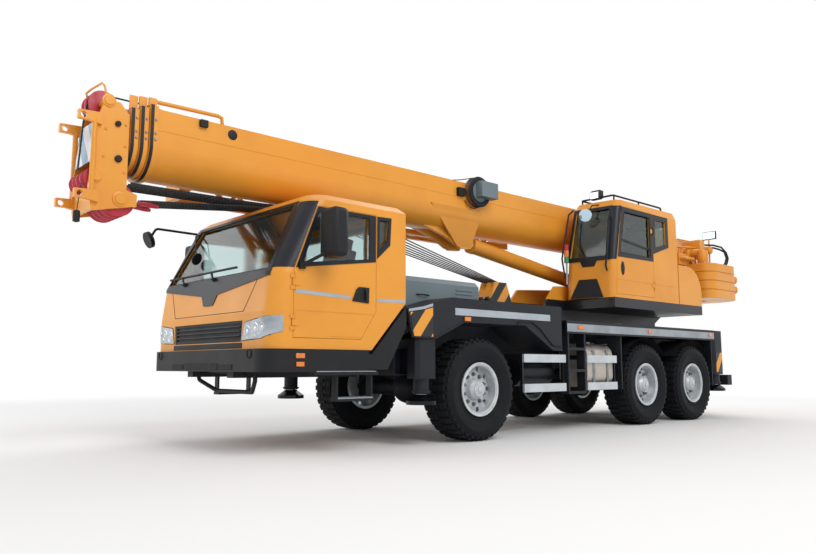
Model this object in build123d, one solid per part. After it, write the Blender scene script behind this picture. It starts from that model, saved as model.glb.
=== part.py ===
# A three-axle mobile crane on a truck chassis, with a driver's cab in front, a slewing upper works
# with its own cab, and a four-section telescopic boom. Millimetres, +X forward, +Y left, +Z up.
# Stations along X are counted from the front axle. The finished crane is then moved so that its
# origin is the middle of its footprint on the ground.
from build123d import *
from math import atan2, degrees, hypot
import os

# Reach of the whole crane along X, from the front axle
NOSE = 4175
HALF_WIDTH = 1250

# Wheels and axles
TYRE_RADIUS = 575
TYRE_WIDTH = 430
TREAD_WIDTH = 330
SHOULDER_DROP = 32
RIM_RADIUS = 290
RIM_WIDTH = 372
FLANGE = 12
RIM_WALL = 16
HUB_RADIUS = 130
DRUM_RADIUS = 205
BRAKE_WIDTH = 90
DISC_OUT = 70
DISC_THICK = 16
HUB_CAP_OUT = 165
HAND_HOLES = 10
SPINDLE_RADIUS = 45
SPINDLE_OUT = 60
TRACK = 2 * (HALF_WIDTH - TYRE_WIDTH / 2)
WHEELBASE = 3550
TANDEM = 1385
REAR_AXLES = [-WHEELBASE, -WHEELBASE - TANDEM]
# The room between the front and middle tyres, in 24 steps that place what stands there
BAY_STEP = (WHEELBASE - 2 * TYRE_RADIUS) / 24
BAY_REAR = REAR_AXLES[0] + TYRE_RADIUS
AXLE_TUBE = 105
BANJO_RADIUS = 200
KINGPIN_INSET = 120
KINGPIN_RADIUS = 28
KNUCKLE_HALF_HEIGHT = 120
KNUCKLE_RADIUS = 52
YOKE_THICK = 45

# Clearances
RUN_GAP = 0.3
SLIDE_GAP = 5
PANEL_GAP = 4

# Door hinges
HINGE_RADIUS = 16
HINGE_PIN = 9
HINGE_LEAF = 70
HINGE_HALF_HEIGHT = 30
HINGE_KNUCKLE = 40

# Chassis frame
RAIL_OUT = 490
RAIL_THICK = 120
FRAME_TOP = 1340
FRAME_BOTTOM = 900
NOSE_TOP = 940
NOSE_BOTTOM = 720
FRAME_REAR = REAR_AXLES[1] - 1225
SLEW_X = REAR_AXLES[0] - 200
SEAT_RADIUS = 640
SEAT_TOP = 1400
SPRING_Y = 430
SPRING_WIDTH = 90
SPRING_THICK = 70
FRONT_SPRING_SPAN = 1240

# Outriggers, front pair and rear pair
BOX_DEPTH = 386
BOX_LOW = 735
BOX_HIGH = 1030
BOX_HALF_LENGTH = HALF_WIDTH - 250
BOX_WALL = 14
FRONT_BOX_X = 913
REAR_BOX_X = REAR_AXLES[1] - 1015
BEAM_INNER_END = BOX_HALF_LENGTH - 100
JACK_Y = HALF_WIDTH - 130
JACK_HOUSING_X = 300
JACK_HOUSING_Y = 200
JACK_HOUSING_LOW = 700
FRONT_HOUSING_HIGH = 1120
REAR_HOUSING_HIGH = 1420
JACK_TUBE_RADIUS = 85
JACK_TUBE_LOW = 540
JACK_ROD_RADIUS = 60
FLOAT_LOW = 430
FLOAT_RADIUS = 165
FLOAT_THICK = 40

# Driver's cab
CAB_REAR = 1150
CAB_FRONT = 2750
CAB_HALF_WIDTH = HALF_WIDTH - 10
CAB_BOTTOM = 990
CAB_BELT = 1330
CAB_COWL = 1690
CAB_EAVES = CAB_COWL + 730
CAB_ROOF = CAB_EAVES + 70
CAB_COWL_FRONT = CAB_FRONT - 50
CAB_EAVES_FRONT = CAB_FRONT - 415
CAB_ROOF_INSET = 90
CAB_CORNER = 190
CAB_WALL = 60
CAB_SLANT_TOP = 1480
CAB_SLANT_FOOT = 1600
DOOR_FRONT = CAB_FRONT - 230
DOOR_REAR = CAB_REAR + 395
DOOR_LOW = CAB_BOTTOM + 100
DOOR_HIGH = CAB_EAVES - 70
DOOR_HINGES = (DOOR_LOW + 140, CAB_COWL - 90)
SEAT_REAR = CAB_REAR + 410
SEAT_HALF_WIDTH = 240
STEERING_RADIUS = 225
GLASS_THICK = 8
GLASS_INSET = 22
BUMPER_FRONT = CAB_FRONT + 50
BUMPER_LOW = 780
BUMPER_WALL = 100
BUMPER_REAR = CAB_SLANT_FOOT + 40
STEP_LOW = 500
STEP_BAR = 30

# Engine and its hood
HOOD_REAR = -420
HOOD_FRONT = 1080
HOOD_HALF_WIDTH = HALF_WIDTH - 430
HOOD_LOW = 1420
HOOD_HIGH = 1850
HOOD_WALL = 15
HOOD_CHAMFER = 60

# Fenders and decks
FENDER_TOP = 1583
FENDER_PLATE = 25
FENDER_FRONT = CAB_REAR - 20
FENDER_INNER = HOOD_HALF_WIDTH + 10
FENDER_REAR = -TYRE_RADIUS - 9.25 * BAY_STEP
DECK_TOP = 1420
DECK_FRONT = FENDER_REAR - 1.1 * BAY_STEP
DECK_REAR = REAR_AXLES[1] - 715
DECK_INNER = HALF_WIDTH - 590
DECK_RAIL_LOW = 1254
SILENCER_RADIUS = 175

# Upper works
RING_RADIUS = 600
RING_TOP = 1500
BED_TOP = 1560
BED_FRONT = SLEW_X + 1420
CHEEK_OUT = 370
CHEEK_THICK = 40
BOOM_LOW = CAB_ROOF + 130
BOOM_HIGH = BOOM_LOW + 640
UPPER_DECK_LOW = 1660
UPPER_DECK_TOP = 1800
UPPER_REAR = SLEW_X - 1600
PIVOT_X = SLEW_X - 1800
PIVOT_Z = BOOM_LOW + 210
PIVOT_RADIUS = 70
WEIGHT_FRONT = SLEW_X - 2250
TAIL = SLEW_X - 3450
WEIGHT_LOW = PIVOT_Z - 830
WEIGHT_HIGH = WEIGHT_LOW + 620
WEIGHT_HALF_WIDTH = HALF_WIDTH - 150
WEIGHT_CORNER = 420
WEIGHT_LAYERS = 4
POCKET_REAR = SLEW_X - 3000
POCKET_HALF_WIDTH = CHEEK_OUT + 280
MAIN_WINCH = (SLEW_X - 2620, PIVOT_Z + 20, 200)
SECOND_WINCH = (SLEW_X - 3090, PIVOT_Z + 125, 185)
DRUM_HALF_LENGTH = 280
WINCH_SEAT = PIVOT_Z - 230

# Operator's cab
OPERATOR_REAR = SLEW_X - 850
OPERATOR_FRONT = SLEW_X + 1090
OPERATOR_FRONT_LEFT = OPERATOR_FRONT - 130
OPERATOR_TOP_FRONT = OPERATOR_FRONT - 220
OPERATOR_INNER = CHEEK_OUT + 90
OPERATOR_OUTER = HALF_WIDTH - 30
OPERATOR_ROOF = 3240
OPERATOR_WAIST = 2360
OPERATOR_SILL = OPERATOR_WAIST + 80
OPERATOR_HEAD = OPERATOR_ROOF - 170
OPERATOR_CORNER = 110
OPERATOR_WALL = 45
OPERATOR_SEAT_GAP = 15
OPERATOR_CONSOLE = 80
OPERATOR_DOOR_REAR = OPERATOR_REAR + 720
OPERATOR_DOOR_LOW = 1850
OPERATOR_DOOR_HIGH = 3140
OPERATOR_DOOR_HINGES = (2030, 2860)

# Boom, its luffing cylinder and its sections
BOOM_HALF_WIDTH = 300
BOOM_REAR = PIVOT_X - 300
BOOM_FRONT = NOSE - 635
BOOM_WALL = 14
BOOM_BELLY = 280
SECTION_STEP = 28
SECTION_TAIL_STEP = 150
SECTION_TAIL = PIVOT_X + 300
COLLAR_LENGTH = 75
COLLAR_PROUD = 22
FIN_HEIGHT = 110
LUFF_FOOT = (SLEW_X - 730, 2030)
LUFF_EYE = (-960, BOOM_LOW - 95)
REEL_PLACE = (LUFF_EYE[0] + 30, BOOM_HIGH - 110)
REEL_RADIUS = 200
REEL_WIDTH = 90
BARREL_RADIUS = 105
ROD_RADIUS = 68
EYE_RADIUS = 76
EYE_HALF_WIDTH = 75
BARREL_SHORT = 186
FOOT_PIN_RADIUS = 55
HEAD_PLATE = 34
TOP_SHEAVE = (NOSE - 270, BOOM_HIGH - 10, 135)
LOW_SHEAVE = (NOSE - 410, BOOM_LOW - 270, 155)
NOSE_SHEAVE = (NOSE - 190, BOOM_LOW - 100, 95)
SHEAVE_PIN = 40
JIB_PIN_X = NOSE - 48
JIB_PIN_RADIUS = 28
JIB_PIN_HEIGHTS = (BOOM_LOW + 440, BOOM_LOW - 275)
TOP_SHEAVES = 2
LOW_SHEAVES = 4
SHEAVE_WIDTH = 100
SHEAVE_GROOVE = 35
SHEAVE_RIM = 6

# Stowed jib, on the right of the boom
JIB_FRONT = 2900
JIB_REAR = -2300
JIB_Y = (-640, -370)
JIB_Z = (BOOM_LOW + 20, BOOM_LOW + 340)
JIB_CHORD = 34
JIB_LACING = 28
JIB_BAYS = 10

# Stowed hook block
HOOK_X = (-1480, -1030)
HOOK_Y = 330
HOOK_TOP = 1950
CRADLE_TOP = 1500


# Basic forms


def block(x, y, z):
    """A box between three pairs of limits."""
    size = [abs(pair[1] - pair[0]) for pair in (x, y, z)]
    middle = [(pair[0] + pair[1]) / 2 for pair in (x, y, z)]
    return Pos(*middle) * Box(*size)


def side_plate(outline, y):
    """An outline of (x, z) points, extruded between two values of y."""
    wire = Polyline(*[(px, y[0], pz) for px, pz in outline], close=True)
    return extrude(make_face(wire), y[1] - y[0], dir=(0, 1, 0))


def plan_face(x, y, z):
    """A level rectangle."""
    corners = [(x[0], y[0], z), (x[1], y[0], z), (x[1], y[1], z), (x[0], y[1], z)]
    return make_face(Polyline(*corners, close=True))


def cross_plate(outline, x):
    """An outline of (y, z) points, extruded between two stations."""
    wire = Polyline(*[(x[0], py, pz) for py, pz in outline], close=True)
    return extrude(make_face(wire), x[1] - x[0], dir=(1, 0, 0))


def rod(start, end, radius):
    """A round bar from one point to another."""
    run = Vector(*end) - Vector(*start)
    seat = Plane(origin=start, z_dir=run)
    return seat * Cylinder(radius, run.length, align=(Align.CENTER, Align.CENTER, Align.MIN))


def square_bar(start, end, width):
    """A square bar from one point to another."""
    run = Vector(*end) - Vector(*start)
    seat = Plane(origin=start, z_dir=run)
    return seat * Box(width, width, run.length, align=(Align.CENTER, Align.CENTER, Align.MIN))


def bent_tube(points, radius, bend):
    """A round tube along straight runs joined by arcs."""
    path = FilletPolyline(*points, radius=bend)
    section = Plane(origin=path @ 0, z_dir=path % 0) * Circle(radius)
    return sweep(section, path=path)


def drum(x, radius, z):
    """A standing cylinder on the middle plane, between two heights."""
    return rod((x, 0, z[0]), (x, 0, z[1]), radius)


def cross_pin(x, z, radius, y):
    """A round pin across the crane, between two values of y."""
    return rod((x, y[0], z), (x, y[1], z), radius)


def both_sides(shape):
    """A left-hand piece and its right-hand twin."""
    return [shape, mirror(shape, about=Plane.XZ)]


def door_hinges(x, y, heights, toward):
    """Hinges about an upright line on a wall's left face: the door's half with its bore, the frame's half
    with its pin, and the room that each half needs in the other piece. The door lies on the +X side of
    the line when toward is +1."""
    door_half, frame_half, door_room, frame_room = Part(), Part(), Part(), Part()
    half = HINGE_HALF_HEIGHT
    tall = half + HINGE_KNUCKLE
    for z in heights:
        leaf_y = (y - HINGE_RADIUS / 2, y + HINGE_RADIUS / 2)
        barrel = rod((x, y, z - half), (x, y, z + half), HINGE_RADIUS)
        barrel += block((x, x + toward * HINGE_LEAF), leaf_y, (z - half, z + half))
        door_half += barrel - rod((x, y, z - tall), (x, y, z + tall), HINGE_PIN + RUN_GAP)
        room = half + SLIDE_GAP
        frame_room += rod((x, y, z - room), (x, y, z + room), HINGE_RADIUS + SLIDE_GAP)
        door_room += rod((x, y, z - tall), (x, y, z + tall), HINGE_PIN + RUN_GAP)
        knuckle_half = rod((x, y, z - tall), (x, y, z + tall), HINGE_PIN)
        for end in (z - tall, z + half + SLIDE_GAP):
            top = end + HINGE_KNUCKLE - SLIDE_GAP
            knuckle_half += rod((x, y, end), (x, y, top), HINGE_RADIUS)
            knuckle_half += block((x, x - toward * HINGE_LEAF / 2), leaf_y, (end, top))
            door_room += rod((x, y, end - SLIDE_GAP), (x, y, top + SLIDE_GAP), HINGE_RADIUS + SLIDE_GAP)
        frame_half += knuckle_half
    return door_half, frame_half, door_room, frame_room


def turned_outline(points):
    """A ring turned about the Y axis from (radius, y) points."""
    wire = Polyline(*[(radius, y, 0) for radius, y in points], close=True)
    return revolve(make_face(wire), Axis.Y)


# Wheels, axles and springs


def tyre():
    half = TYRE_WIDTH / 2
    tread = TREAD_WIDTH / 2
    bead = RIM_WIDTH / 2 - 2 * FLANGE
    profile = [(TYRE_RADIUS, tread), (TYRE_RADIUS - SHOULDER_DROP, half - 8)]
    profile += [(TYRE_RADIUS - 145, half), (RIM_RADIUS + FLANGE + 8, bead), (RIM_RADIUS + RUN_GAP, bead)]
    lower = [(radius, -y) for radius, y in reversed(profile)]
    return turned_outline(profile + lower)


def wheel():
    half = RIM_WIDTH / 2
    inner = RIM_RADIUS - RIM_WALL
    flange = RIM_RADIUS + FLANGE
    bore = SPINDLE_RADIUS + RUN_GAP
    drum_in = -(KINGPIN_INSET - KNUCKLE_RADIUS - 2 * SLIDE_GAP)
    back = DISC_OUT - DISC_THICK
    profile = [(0, SPINDLE_OUT), (bore, SPINDLE_OUT), (bore, drum_in)]
    profile += [(DRUM_RADIUS, drum_in), (DRUM_RADIUS, back)]
    profile += [(inner, back - DISC_THICK), (inner - 4, -half), (flange, -half), (flange, FLANGE - half)]
    profile += [(RIM_RADIUS, 2 * FLANGE - half), (RIM_RADIUS, half - 2 * FLANGE), (flange, half - FLANGE)]
    profile += [(flange, half), (inner, half - 4), (inner, back), (DRUM_RADIUS, DISC_OUT)]
    profile += [(HUB_RADIUS, DISC_OUT), (HUB_RADIUS - 20, HUB_CAP_OUT - 40), (HUB_RADIUS - 50, HUB_CAP_OUT)]
    profile += [(0, HUB_CAP_OUT)]
    body = turned_outline(profile)
    middle = (DRUM_RADIUS + inner) / 2
    reach = (inner - DRUM_RADIUS) / 2 - 6
    outline = [(middle - reach, -18), (middle + reach, -26), (middle + reach, 26), (middle - reach, 18)]
    hole = side_plate(outline, (0, 2 * DISC_OUT))
    for count in range(HAND_HOLES):
        body -= Rot(0, 360 / HAND_HOLES * count, 0) * hole
    return body


def at_wheel(shape, station, side):
    """A left-hand wheel piece moved to its axle end, mirrored on the right."""
    placed = Pos(station, TRACK / 2, TYRE_RADIUS) * shape
    if side < 0:
        placed = mirror(placed, about=Plane.XZ)
    return placed


def axle_beam(station, reach):
    tube = rod((station, -reach, TYRE_RADIUS), (station, reach, TYRE_RADIUS), AXLE_TUBE)
    return tube + Pos(station, 0, TYRE_RADIUS) * Sphere(BANJO_RADIUS)


def leaf_pack(ends, middle, low, high):
    """A bowed pack of leaves, from its two ends' height to its middle's, on the left."""
    top = [(ends[0], low + SPRING_THICK), (middle, high + SPRING_THICK), (ends[1], low + SPRING_THICK)]
    bottom = [(ends[1], low), (middle, high), (ends[0], low)]
    y = SPRING_Y - SPRING_WIDTH / 2
    upper = ThreePointArc(*[(px, y, pz) for px, pz in top])
    lower = ThreePointArc(*[(px, y, pz) for px, pz in bottom])
    caps = [Line(upper @ 1, lower @ 0), Line(lower @ 1, upper @ 0)]
    face = make_face([upper, caps[0], lower, caps[1]])
    return extrude(face, SPRING_WIDTH, dir=(0, 1, 0))


def front_axle():
    kingpin = TRACK / 2 - KINGPIN_INSET
    axle = axle_beam(0, kingpin - KNUCKLE_RADIUS - 3 * SLIDE_GAP)
    seat = TYRE_RADIUS + AXLE_TUBE - 10
    crown = KNUCKLE_HALF_HEIGHT + RUN_GAP
    for sign in (1, -1):
        root = sign * (kingpin - KNUCKLE_RADIUS - 6 * SLIDE_GAP)
        fork = block((-KNUCKLE_RADIUS, KNUCKLE_RADIUS), (root, root + sign * 3 * SLIDE_GAP),
                     (TYRE_RADIUS - crown - YOKE_THICK, TYRE_RADIUS + crown + YOKE_THICK))
        for low in (crown, -crown - YOKE_THICK):
            arm = (TYRE_RADIUS + low, TYRE_RADIUS + low + YOKE_THICK)
            fork += block((-KNUCKLE_RADIUS, KNUCKLE_RADIUS), (root, sign * kingpin), arm)
            fork += rod((0, sign * kingpin, arm[0]), (0, sign * kingpin, arm[1]), KNUCKLE_RADIUS)
        reach = crown + SLIDE_GAP
        pin_y = sign * kingpin
        pin = rod((0, pin_y, TYRE_RADIUS - reach), (0, pin_y, TYRE_RADIUS + reach), KINGPIN_RADIUS)
        axle += fork + pin
    half = FRONT_SPRING_SPAN / 2
    pack = leaf_pack((-half, half), 0, FRAME_BOTTOM - SPRING_THICK, seat)
    return axle + both_sides(pack)


def knuckle():
    """The left steering knuckle with its spindle."""
    kingpin = TRACK / 2 - KINGPIN_INSET
    low = TYRE_RADIUS - KNUCKLE_HALF_HEIGHT
    high = TYRE_RADIUS + KNUCKLE_HALF_HEIGHT
    body = rod((0, kingpin, low), (0, kingpin, high), KNUCKLE_RADIUS)
    spindle = TRACK / 2 + SPINDLE_OUT - SLIDE_GAP
    body += rod((0, kingpin, TYRE_RADIUS), (0, spindle, TYRE_RADIUS), SPINDLE_RADIUS)
    return body - rod((0, kingpin, low - 1), (0, kingpin, high + 1), KINGPIN_RADIUS + RUN_GAP)


def rear_axles():
    drum_in = TRACK / 2 - (KINGPIN_INSET - KNUCKLE_RADIUS - 2 * SLIDE_GAP)
    pieces = []
    for station in REAR_AXLES:
        axle = axle_beam(station, drum_in - 2 * SLIDE_GAP)
        for sign in (1, -1):
            brake = (sign * (drum_in - BRAKE_WIDTH), sign * (drum_in - SLIDE_GAP))
            axle += cross_pin(station, TYRE_RADIUS, DRUM_RADIUS, brake)
            spindle = sign * (TRACK / 2 + SPINDLE_OUT - SLIDE_GAP)
            axle += cross_pin(station, TYRE_RADIUS, SPINDLE_RADIUS, (0, spindle))
        pieces.append(axle)
    middle = sum(REAR_AXLES) / 2
    seat = TYRE_RADIUS + AXLE_TUBE - 10
    pack = leaf_pack(tuple(sorted(REAR_AXLES)), middle, seat, FRAME_BOTTOM - SPRING_THICK)
    return pieces[0] + pieces[1] + both_sides(pack)


# Chassis frame and outriggers


def slot_x(box_x, side):
    """Station of a beam's centre line: the two beams of a box lie side by side."""
    step = (BOX_DEPTH + BOX_WALL) / 4 - BOX_WALL / 2
    return box_x + side * step


def frame():
    front_box = (FRONT_BOX_X - BOX_DEPTH / 2, FRONT_BOX_X + BOX_DEPTH / 2)
    rear_box = (REAR_BOX_X - BOX_DEPTH / 2, REAR_BOX_X + BOX_DEPTH / 2)
    nose = BUMPER_FRONT - BUMPER_WALL - RUN_GAP
    over_box = BOX_HIGH + RUN_GAP
    rail = [(FRAME_REAR, FRAME_TOP), (front_box[1] + 60, FRAME_TOP), (CAB_SLANT_FOOT - 120, NOSE_TOP)]
    rail += [(nose, NOSE_TOP), (nose, NOSE_BOTTOM), (front_box[1] + 100, NOSE_BOTTOM)]
    rail += [(front_box[1] + 20, over_box), (front_box[0] - 20, over_box), (front_box[0] - 120, FRAME_BOTTOM)]
    rail += [(rear_box[1] + 100, FRAME_BOTTOM), (rear_box[1] + 20, over_box), (FRAME_REAR, over_box)]
    rail_in = RAIL_OUT - RAIL_THICK
    body = Part() + both_sides(side_plate(rail, (rail_in, RAIL_OUT)))
    wide = (-rail_in, rail_in)
    for station in (FRAME_REAR + 60, REAR_AXLES[1] + 250, SLEW_X + 500, DECK_FRONT - 290, -700):
        body += block((station, station + 80), wide, (FRAME_BOTTOM + 200, FRAME_TOP))
    cross_y = RAIL_OUT + 160
    body += block((nose - 250, nose - 110), (-cross_y, cross_y), (NOSE_BOTTOM + 40, NOSE_TOP - 40))
    body += drum(SLEW_X, SEAT_RADIUS, (FRAME_TOP - 60, SEAT_TOP))
    body += block((FRAME_REAR - 40, FRAME_REAR), (-RAIL_OUT, RAIL_OUT), (560, FRAME_TOP))
    body += block((FRAME_REAR - 190, FRAME_REAR - 40), (-HALF_WIDTH + 60, HALF_WIDTH - 60), (520, 690))
    return body


def outrigger_box(box_x):
    """The cross box with one slot for each beam."""
    half = BOX_DEPTH / 2
    body = block((box_x - half, box_x + half), (-BOX_HALF_LENGTH, BOX_HALF_LENGTH), (BOX_LOW, BOX_HIGH))
    slot = (BOX_DEPTH - 3 * BOX_WALL) / 2
    for side in (1, -1):
        middle = slot_x(box_x, side)
        body -= block((middle - slot / 2, middle + slot / 2), (-BOX_HALF_LENGTH - 1, BOX_HALF_LENGTH + 1),
                      (BOX_LOW + BOX_WALL, BOX_HIGH - BOX_WALL))
    return body


def outrigger_beam(box_x, side, lane, housing_high):
    """A sliding beam with the jack's housing at its end; side is +1 on the left."""
    middle = slot_x(box_x, lane)
    width = (BOX_DEPTH - 3 * BOX_WALL) / 2 - 2 * SLIDE_GAP
    low = BOX_LOW + BOX_WALL + RUN_GAP
    high = BOX_HIGH - BOX_WALL - SLIDE_GAP
    beam = block((middle - width / 2, middle + width / 2), (-BEAM_INNER_END, JACK_Y), (low, high))
    half = JACK_HOUSING_X / 2
    housing_y = (JACK_Y - JACK_HOUSING_Y / 2, JACK_Y + JACK_HOUSING_Y / 2)
    housing = block((middle - half, middle + half), housing_y, (JACK_HOUSING_LOW, housing_high))
    upright = housing.edges().filter_by(Axis.Z)
    beam += chamfer(upright, JACK_HOUSING_Y / 5)
    beam += rod((middle, JACK_Y, JACK_TUBE_LOW), (middle, JACK_Y, JACK_HOUSING_LOW), JACK_TUBE_RADIUS)
    bore_top = FRONT_HOUSING_HIGH - BOX_WALL
    beam -= rod((middle, JACK_Y, JACK_TUBE_LOW - 1), (middle, JACK_Y, bore_top), JACK_ROD_RADIUS + RUN_GAP)
    if side < 0:
        beam = mirror(beam, about=Plane.XZ)
    return beam


def jack(box_x, side, lane):
    """The jack's rod with its float."""
    middle = slot_x(box_x, lane)
    top = FRONT_HOUSING_HIGH - BOX_WALL - SLIDE_GAP
    profile = [(0, FLOAT_LOW), (FLOAT_RADIUS, FLOAT_LOW), (FLOAT_RADIUS, FLOAT_LOW + FLOAT_THICK)]
    neck = JACK_TUBE_LOW - SLIDE_GAP
    profile += [(JACK_ROD_RADIUS + 15, neck), (JACK_ROD_RADIUS, neck), (JACK_ROD_RADIUS, top), (0, top)]
    wire = Polyline(*[(radius, 0, height) for radius, height in profile], close=True)
    return Pos(middle, side * JACK_Y, 0) * revolve(make_face(wire), Axis.Z)


# Driver's cab


def cab_section(front, rear, half_width, corner, height):
    """A level outline of the cab with its two front corners rounded."""
    face = plan_face((rear, front), (-half_width, half_width), height)
    corners = [vertex for vertex in face.vertices() if vertex.X > (front + rear) / 2]
    return fillet(corners, corner)


def cab_form(inset):
    """The cab's closed outer form, moved inward by a distance."""
    levels = [(CAB_BOTTOM + inset, CAB_FRONT, 0), (CAB_BELT, CAB_FRONT, 0), (CAB_COWL, CAB_COWL_FRONT, 0)]
    levels += [(CAB_EAVES - inset * 0.4, CAB_EAVES_FRONT, 0)]
    levels += [(CAB_ROOF - inset, CAB_EAVES_FRONT - CAB_ROOF_INSET, CAB_ROOF_INSET)]
    corner = CAB_CORNER - inset * 0.5
    sections = []
    for height, front, draw in levels:
        half = CAB_HALF_WIDTH - inset - draw
        rear = CAB_REAR + inset + draw * 0.5
        sections.append(cab_section(front - inset, rear, half, corner, height))
    form = loft(sections, ruled=True)
    length, height = CAB_SLANT_FOOT - CAB_REAR, CAB_SLANT_TOP - CAB_BOTTOM
    rise = inset * hypot(length, height) / length
    behind, below = 200, 300
    wedge = [(CAB_REAR - behind, CAB_SLANT_TOP + rise + behind * height / length)]
    wedge += [(CAB_SLANT_FOOT + (rise + below) * length / height, CAB_BOTTOM - below)]
    wedge += [(CAB_REAR - behind, CAB_BOTTOM - below)]
    return form - side_plate(wedge, (-CAB_HALF_WIDTH - 100, CAB_HALF_WIDTH + 100))


def door_outline():
    return [(DOOR_REAR + 190, DOOR_LOW), (DOOR_FRONT, DOOR_LOW), (DOOR_FRONT, CAB_COWL + 30),
            (DOOR_FRONT - 260, DOOR_HIGH), (DOOR_REAR, DOOR_HIGH), (DOOR_REAR, DOOR_LOW + 280)]


def door_window_outline():
    return [(DOOR_FRONT - 90, CAB_COWL + 90), (DOOR_FRONT - 270, DOOR_HIGH - 50),
            (DOOR_REAR + 90, DOOR_HIGH - 40), (DOOR_REAR + 90, CAB_COWL + 190)]


def quarter_window_outline():
    rear = CAB_REAR + 230
    front = DOOR_REAR - 30
    return [(front, DOOR_HIGH - 40), (rear, DOOR_HIGH - 35),
            (rear + 20, CAB_COWL + 410), (front, CAB_COWL + 300)]


def windshield_outline():
    low, high = CAB_HALF_WIDTH - 170, CAB_HALF_WIDTH - 255
    return [(-low, CAB_COWL + 30), (low, CAB_COWL + 30), (high, CAB_EAVES - 35), (-high, CAB_EAVES - 35)]


def rear_window_outline():
    half = CAB_HALF_WIDTH - 640
    low, high = CAB_COWL + 260, CAB_EAVES - 120
    return [(-half, low), (half, low), (half, high), (-half, high)]


def lamp_outline():
    side = CAB_HALF_WIDTH + 60
    low, high = CAB_BOTTOM + 78, CAB_BELT - 30
    return [(side - 570, low), (side - 525, high - 60), (side, high),
            (side, low + 97), (side - 220, low + 17)]


def side_face(outline, y):
    return make_face(Polyline(*[(px, y, pz) for px, pz in outline], close=True))


def cross_face(outline, x):
    return make_face(Polyline(*[(x, py, pz) for py, pz in outline], close=True))


WALL_Y = (CAB_HALF_WIDTH - 250, CAB_HALF_WIDTH + 50)


def door_prism(gap):
    return pane_prism(side_face(door_outline(), WALL_Y[0]), WALL_Y[1] - WALL_Y[0], (0, 1, 0), gap)


def pane_prism(face, run, direction, gap):
    cut = offset(face, -gap) if gap else face
    return extrude(cut, run, dir=direction)


def door_window(gap):
    face = side_face(door_window_outline(), WALL_Y[0])
    return pane_prism(face, WALL_Y[1] - WALL_Y[0], (0, 1, 0), gap)


def cab_openings(gap):
    """Window openings of the fixed cab walls, drawn in by a gap for the panes."""
    depth = WALL_Y[1] - WALL_Y[0]
    quarter = pane_prism(side_face(quarter_window_outline(), WALL_Y[0]), depth, (0, 1, 0), gap)
    front = pane_prism(cross_face(windshield_outline(), CAB_EAVES_FRONT - 250), 700, (1, 0, 0), gap)
    rear = pane_prism(cross_face(rear_window_outline(), CAB_REAR - 20), 150, (1, 0, 0), gap)
    return both_sides(quarter) + [front, rear]


def lamp_prism(gap):
    face = cross_face(lamp_outline(), CAB_FRONT - 130)
    return pane_prism(face, 300, (1, 0, 0), gap)


def grille_prism(gap):
    low = CAB_BOTTOM + 70
    half = CAB_HALF_WIDTH - 525
    outline = [(-half, low), (half, low), (half + 20, CAB_BELT - 70), (-half - 20, CAB_BELT - 70)]
    return pane_prism(cross_face(outline, CAB_FRONT - 130), 300, (1, 0, 0), gap)


def cab_walls():
    return cab_form(0) - cab_form(CAB_WALL)


def cab_door_hinges():
    return door_hinges(DOOR_FRONT, CAB_HALF_WIDTH, DOOR_HINGES, -1)


def cab_shell(walls):
    _, hinge, _, room = cab_door_hinges()
    shell = walls
    for piece in both_sides(door_prism(0)) + cab_openings(0) + both_sides(lamp_prism(0)) + both_sides(room):
        shell -= piece
    return shell - grille_prism(0) + both_sides(hinge)


def cab_glass(skin):
    return [part for opening in cab_openings(RUN_GAP) for part in (skin & opening).solids()]


def cab_door(walls):
    """The left door, cut from the cab's wall."""
    hinge, _, room, _ = cab_door_hinges()
    door = walls & door_prism(PANEL_GAP)
    return door - door_window(0) - room + hinge


def door_glass(skin):
    return skin & door_window(RUN_GAP)


def door_mirror():
    """The left mirror: a housing on two arms that stand on the door's front corner."""
    face = CAB_HALF_WIDTH + RUN_GAP
    front = DOOR_FRONT - 220
    y = (CAB_HALF_WIDTH + 110, CAB_HALF_WIDTH + 290)
    housing = fillet(block((front - 170, front), y, (CAB_COWL + 160, CAB_COWL + 590)).edges(), 45)
    arms = rod((front + 140, face + 20, CAB_COWL + 70), (front - 40, y[0] + 80, CAB_COWL + 200), 16)
    arms += block((front + 110, front + 170), (face, face + 30), (CAB_COWL + 35, CAB_COWL + 105))
    return housing + arms


def cab_interior():
    """Two seats, the dash and the steering wheel, standing on the cab's floor."""
    floor = CAB_BOTTOM + CAB_WALL + RUN_GAP
    seat_y = CAB_HALF_WIDTH - 680
    pieces = []
    for sign in (1, -1):
        y = (sign * seat_y - SEAT_HALF_WIDTH, sign * seat_y + SEAT_HALF_WIDTH)
        seat = block((SEAT_REAR, SEAT_REAR + 480), y, (floor + 300, floor + 430))
        seat += block((SEAT_REAR + 80, SEAT_REAR + 400), (y[0] + 90, y[1] - 90), (floor, floor + 300))
        back = [(SEAT_REAR, floor + 400), (SEAT_REAR + 120, floor + 400)]
        back += [(SEAT_REAR, floor + 1010), (SEAT_REAR - 110, floor + 1010)]
        seat += side_plate(back, y)
        pieces.append(seat)
    front = CAB_FRONT - 150
    dash = [(front - 220, floor), (front, floor), (front, CAB_COWL - 60), (front - 170, CAB_COWL - 20)]
    dash += [(front - 270, CAB_COWL - 140), (front - 180, floor + 380)]
    board = side_plate(dash, (-CAB_HALF_WIDTH + 240, CAB_HALF_WIDTH - 240))
    hub = (front - 420, seat_y, CAB_COWL - 40)
    wheel_plane = Plane(origin=hub, z_dir=(-0.5, 0, 0.86))
    ring = wheel_plane * Torus(STEERING_RADIUS, 16)
    spokes = wheel_plane * Box(60, 2 * STEERING_RADIUS, 24)
    column = rod(hub, (front - 200, seat_y, CAB_COWL - 330), 32)
    return [board + column + spokes + ring] + pieces


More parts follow.
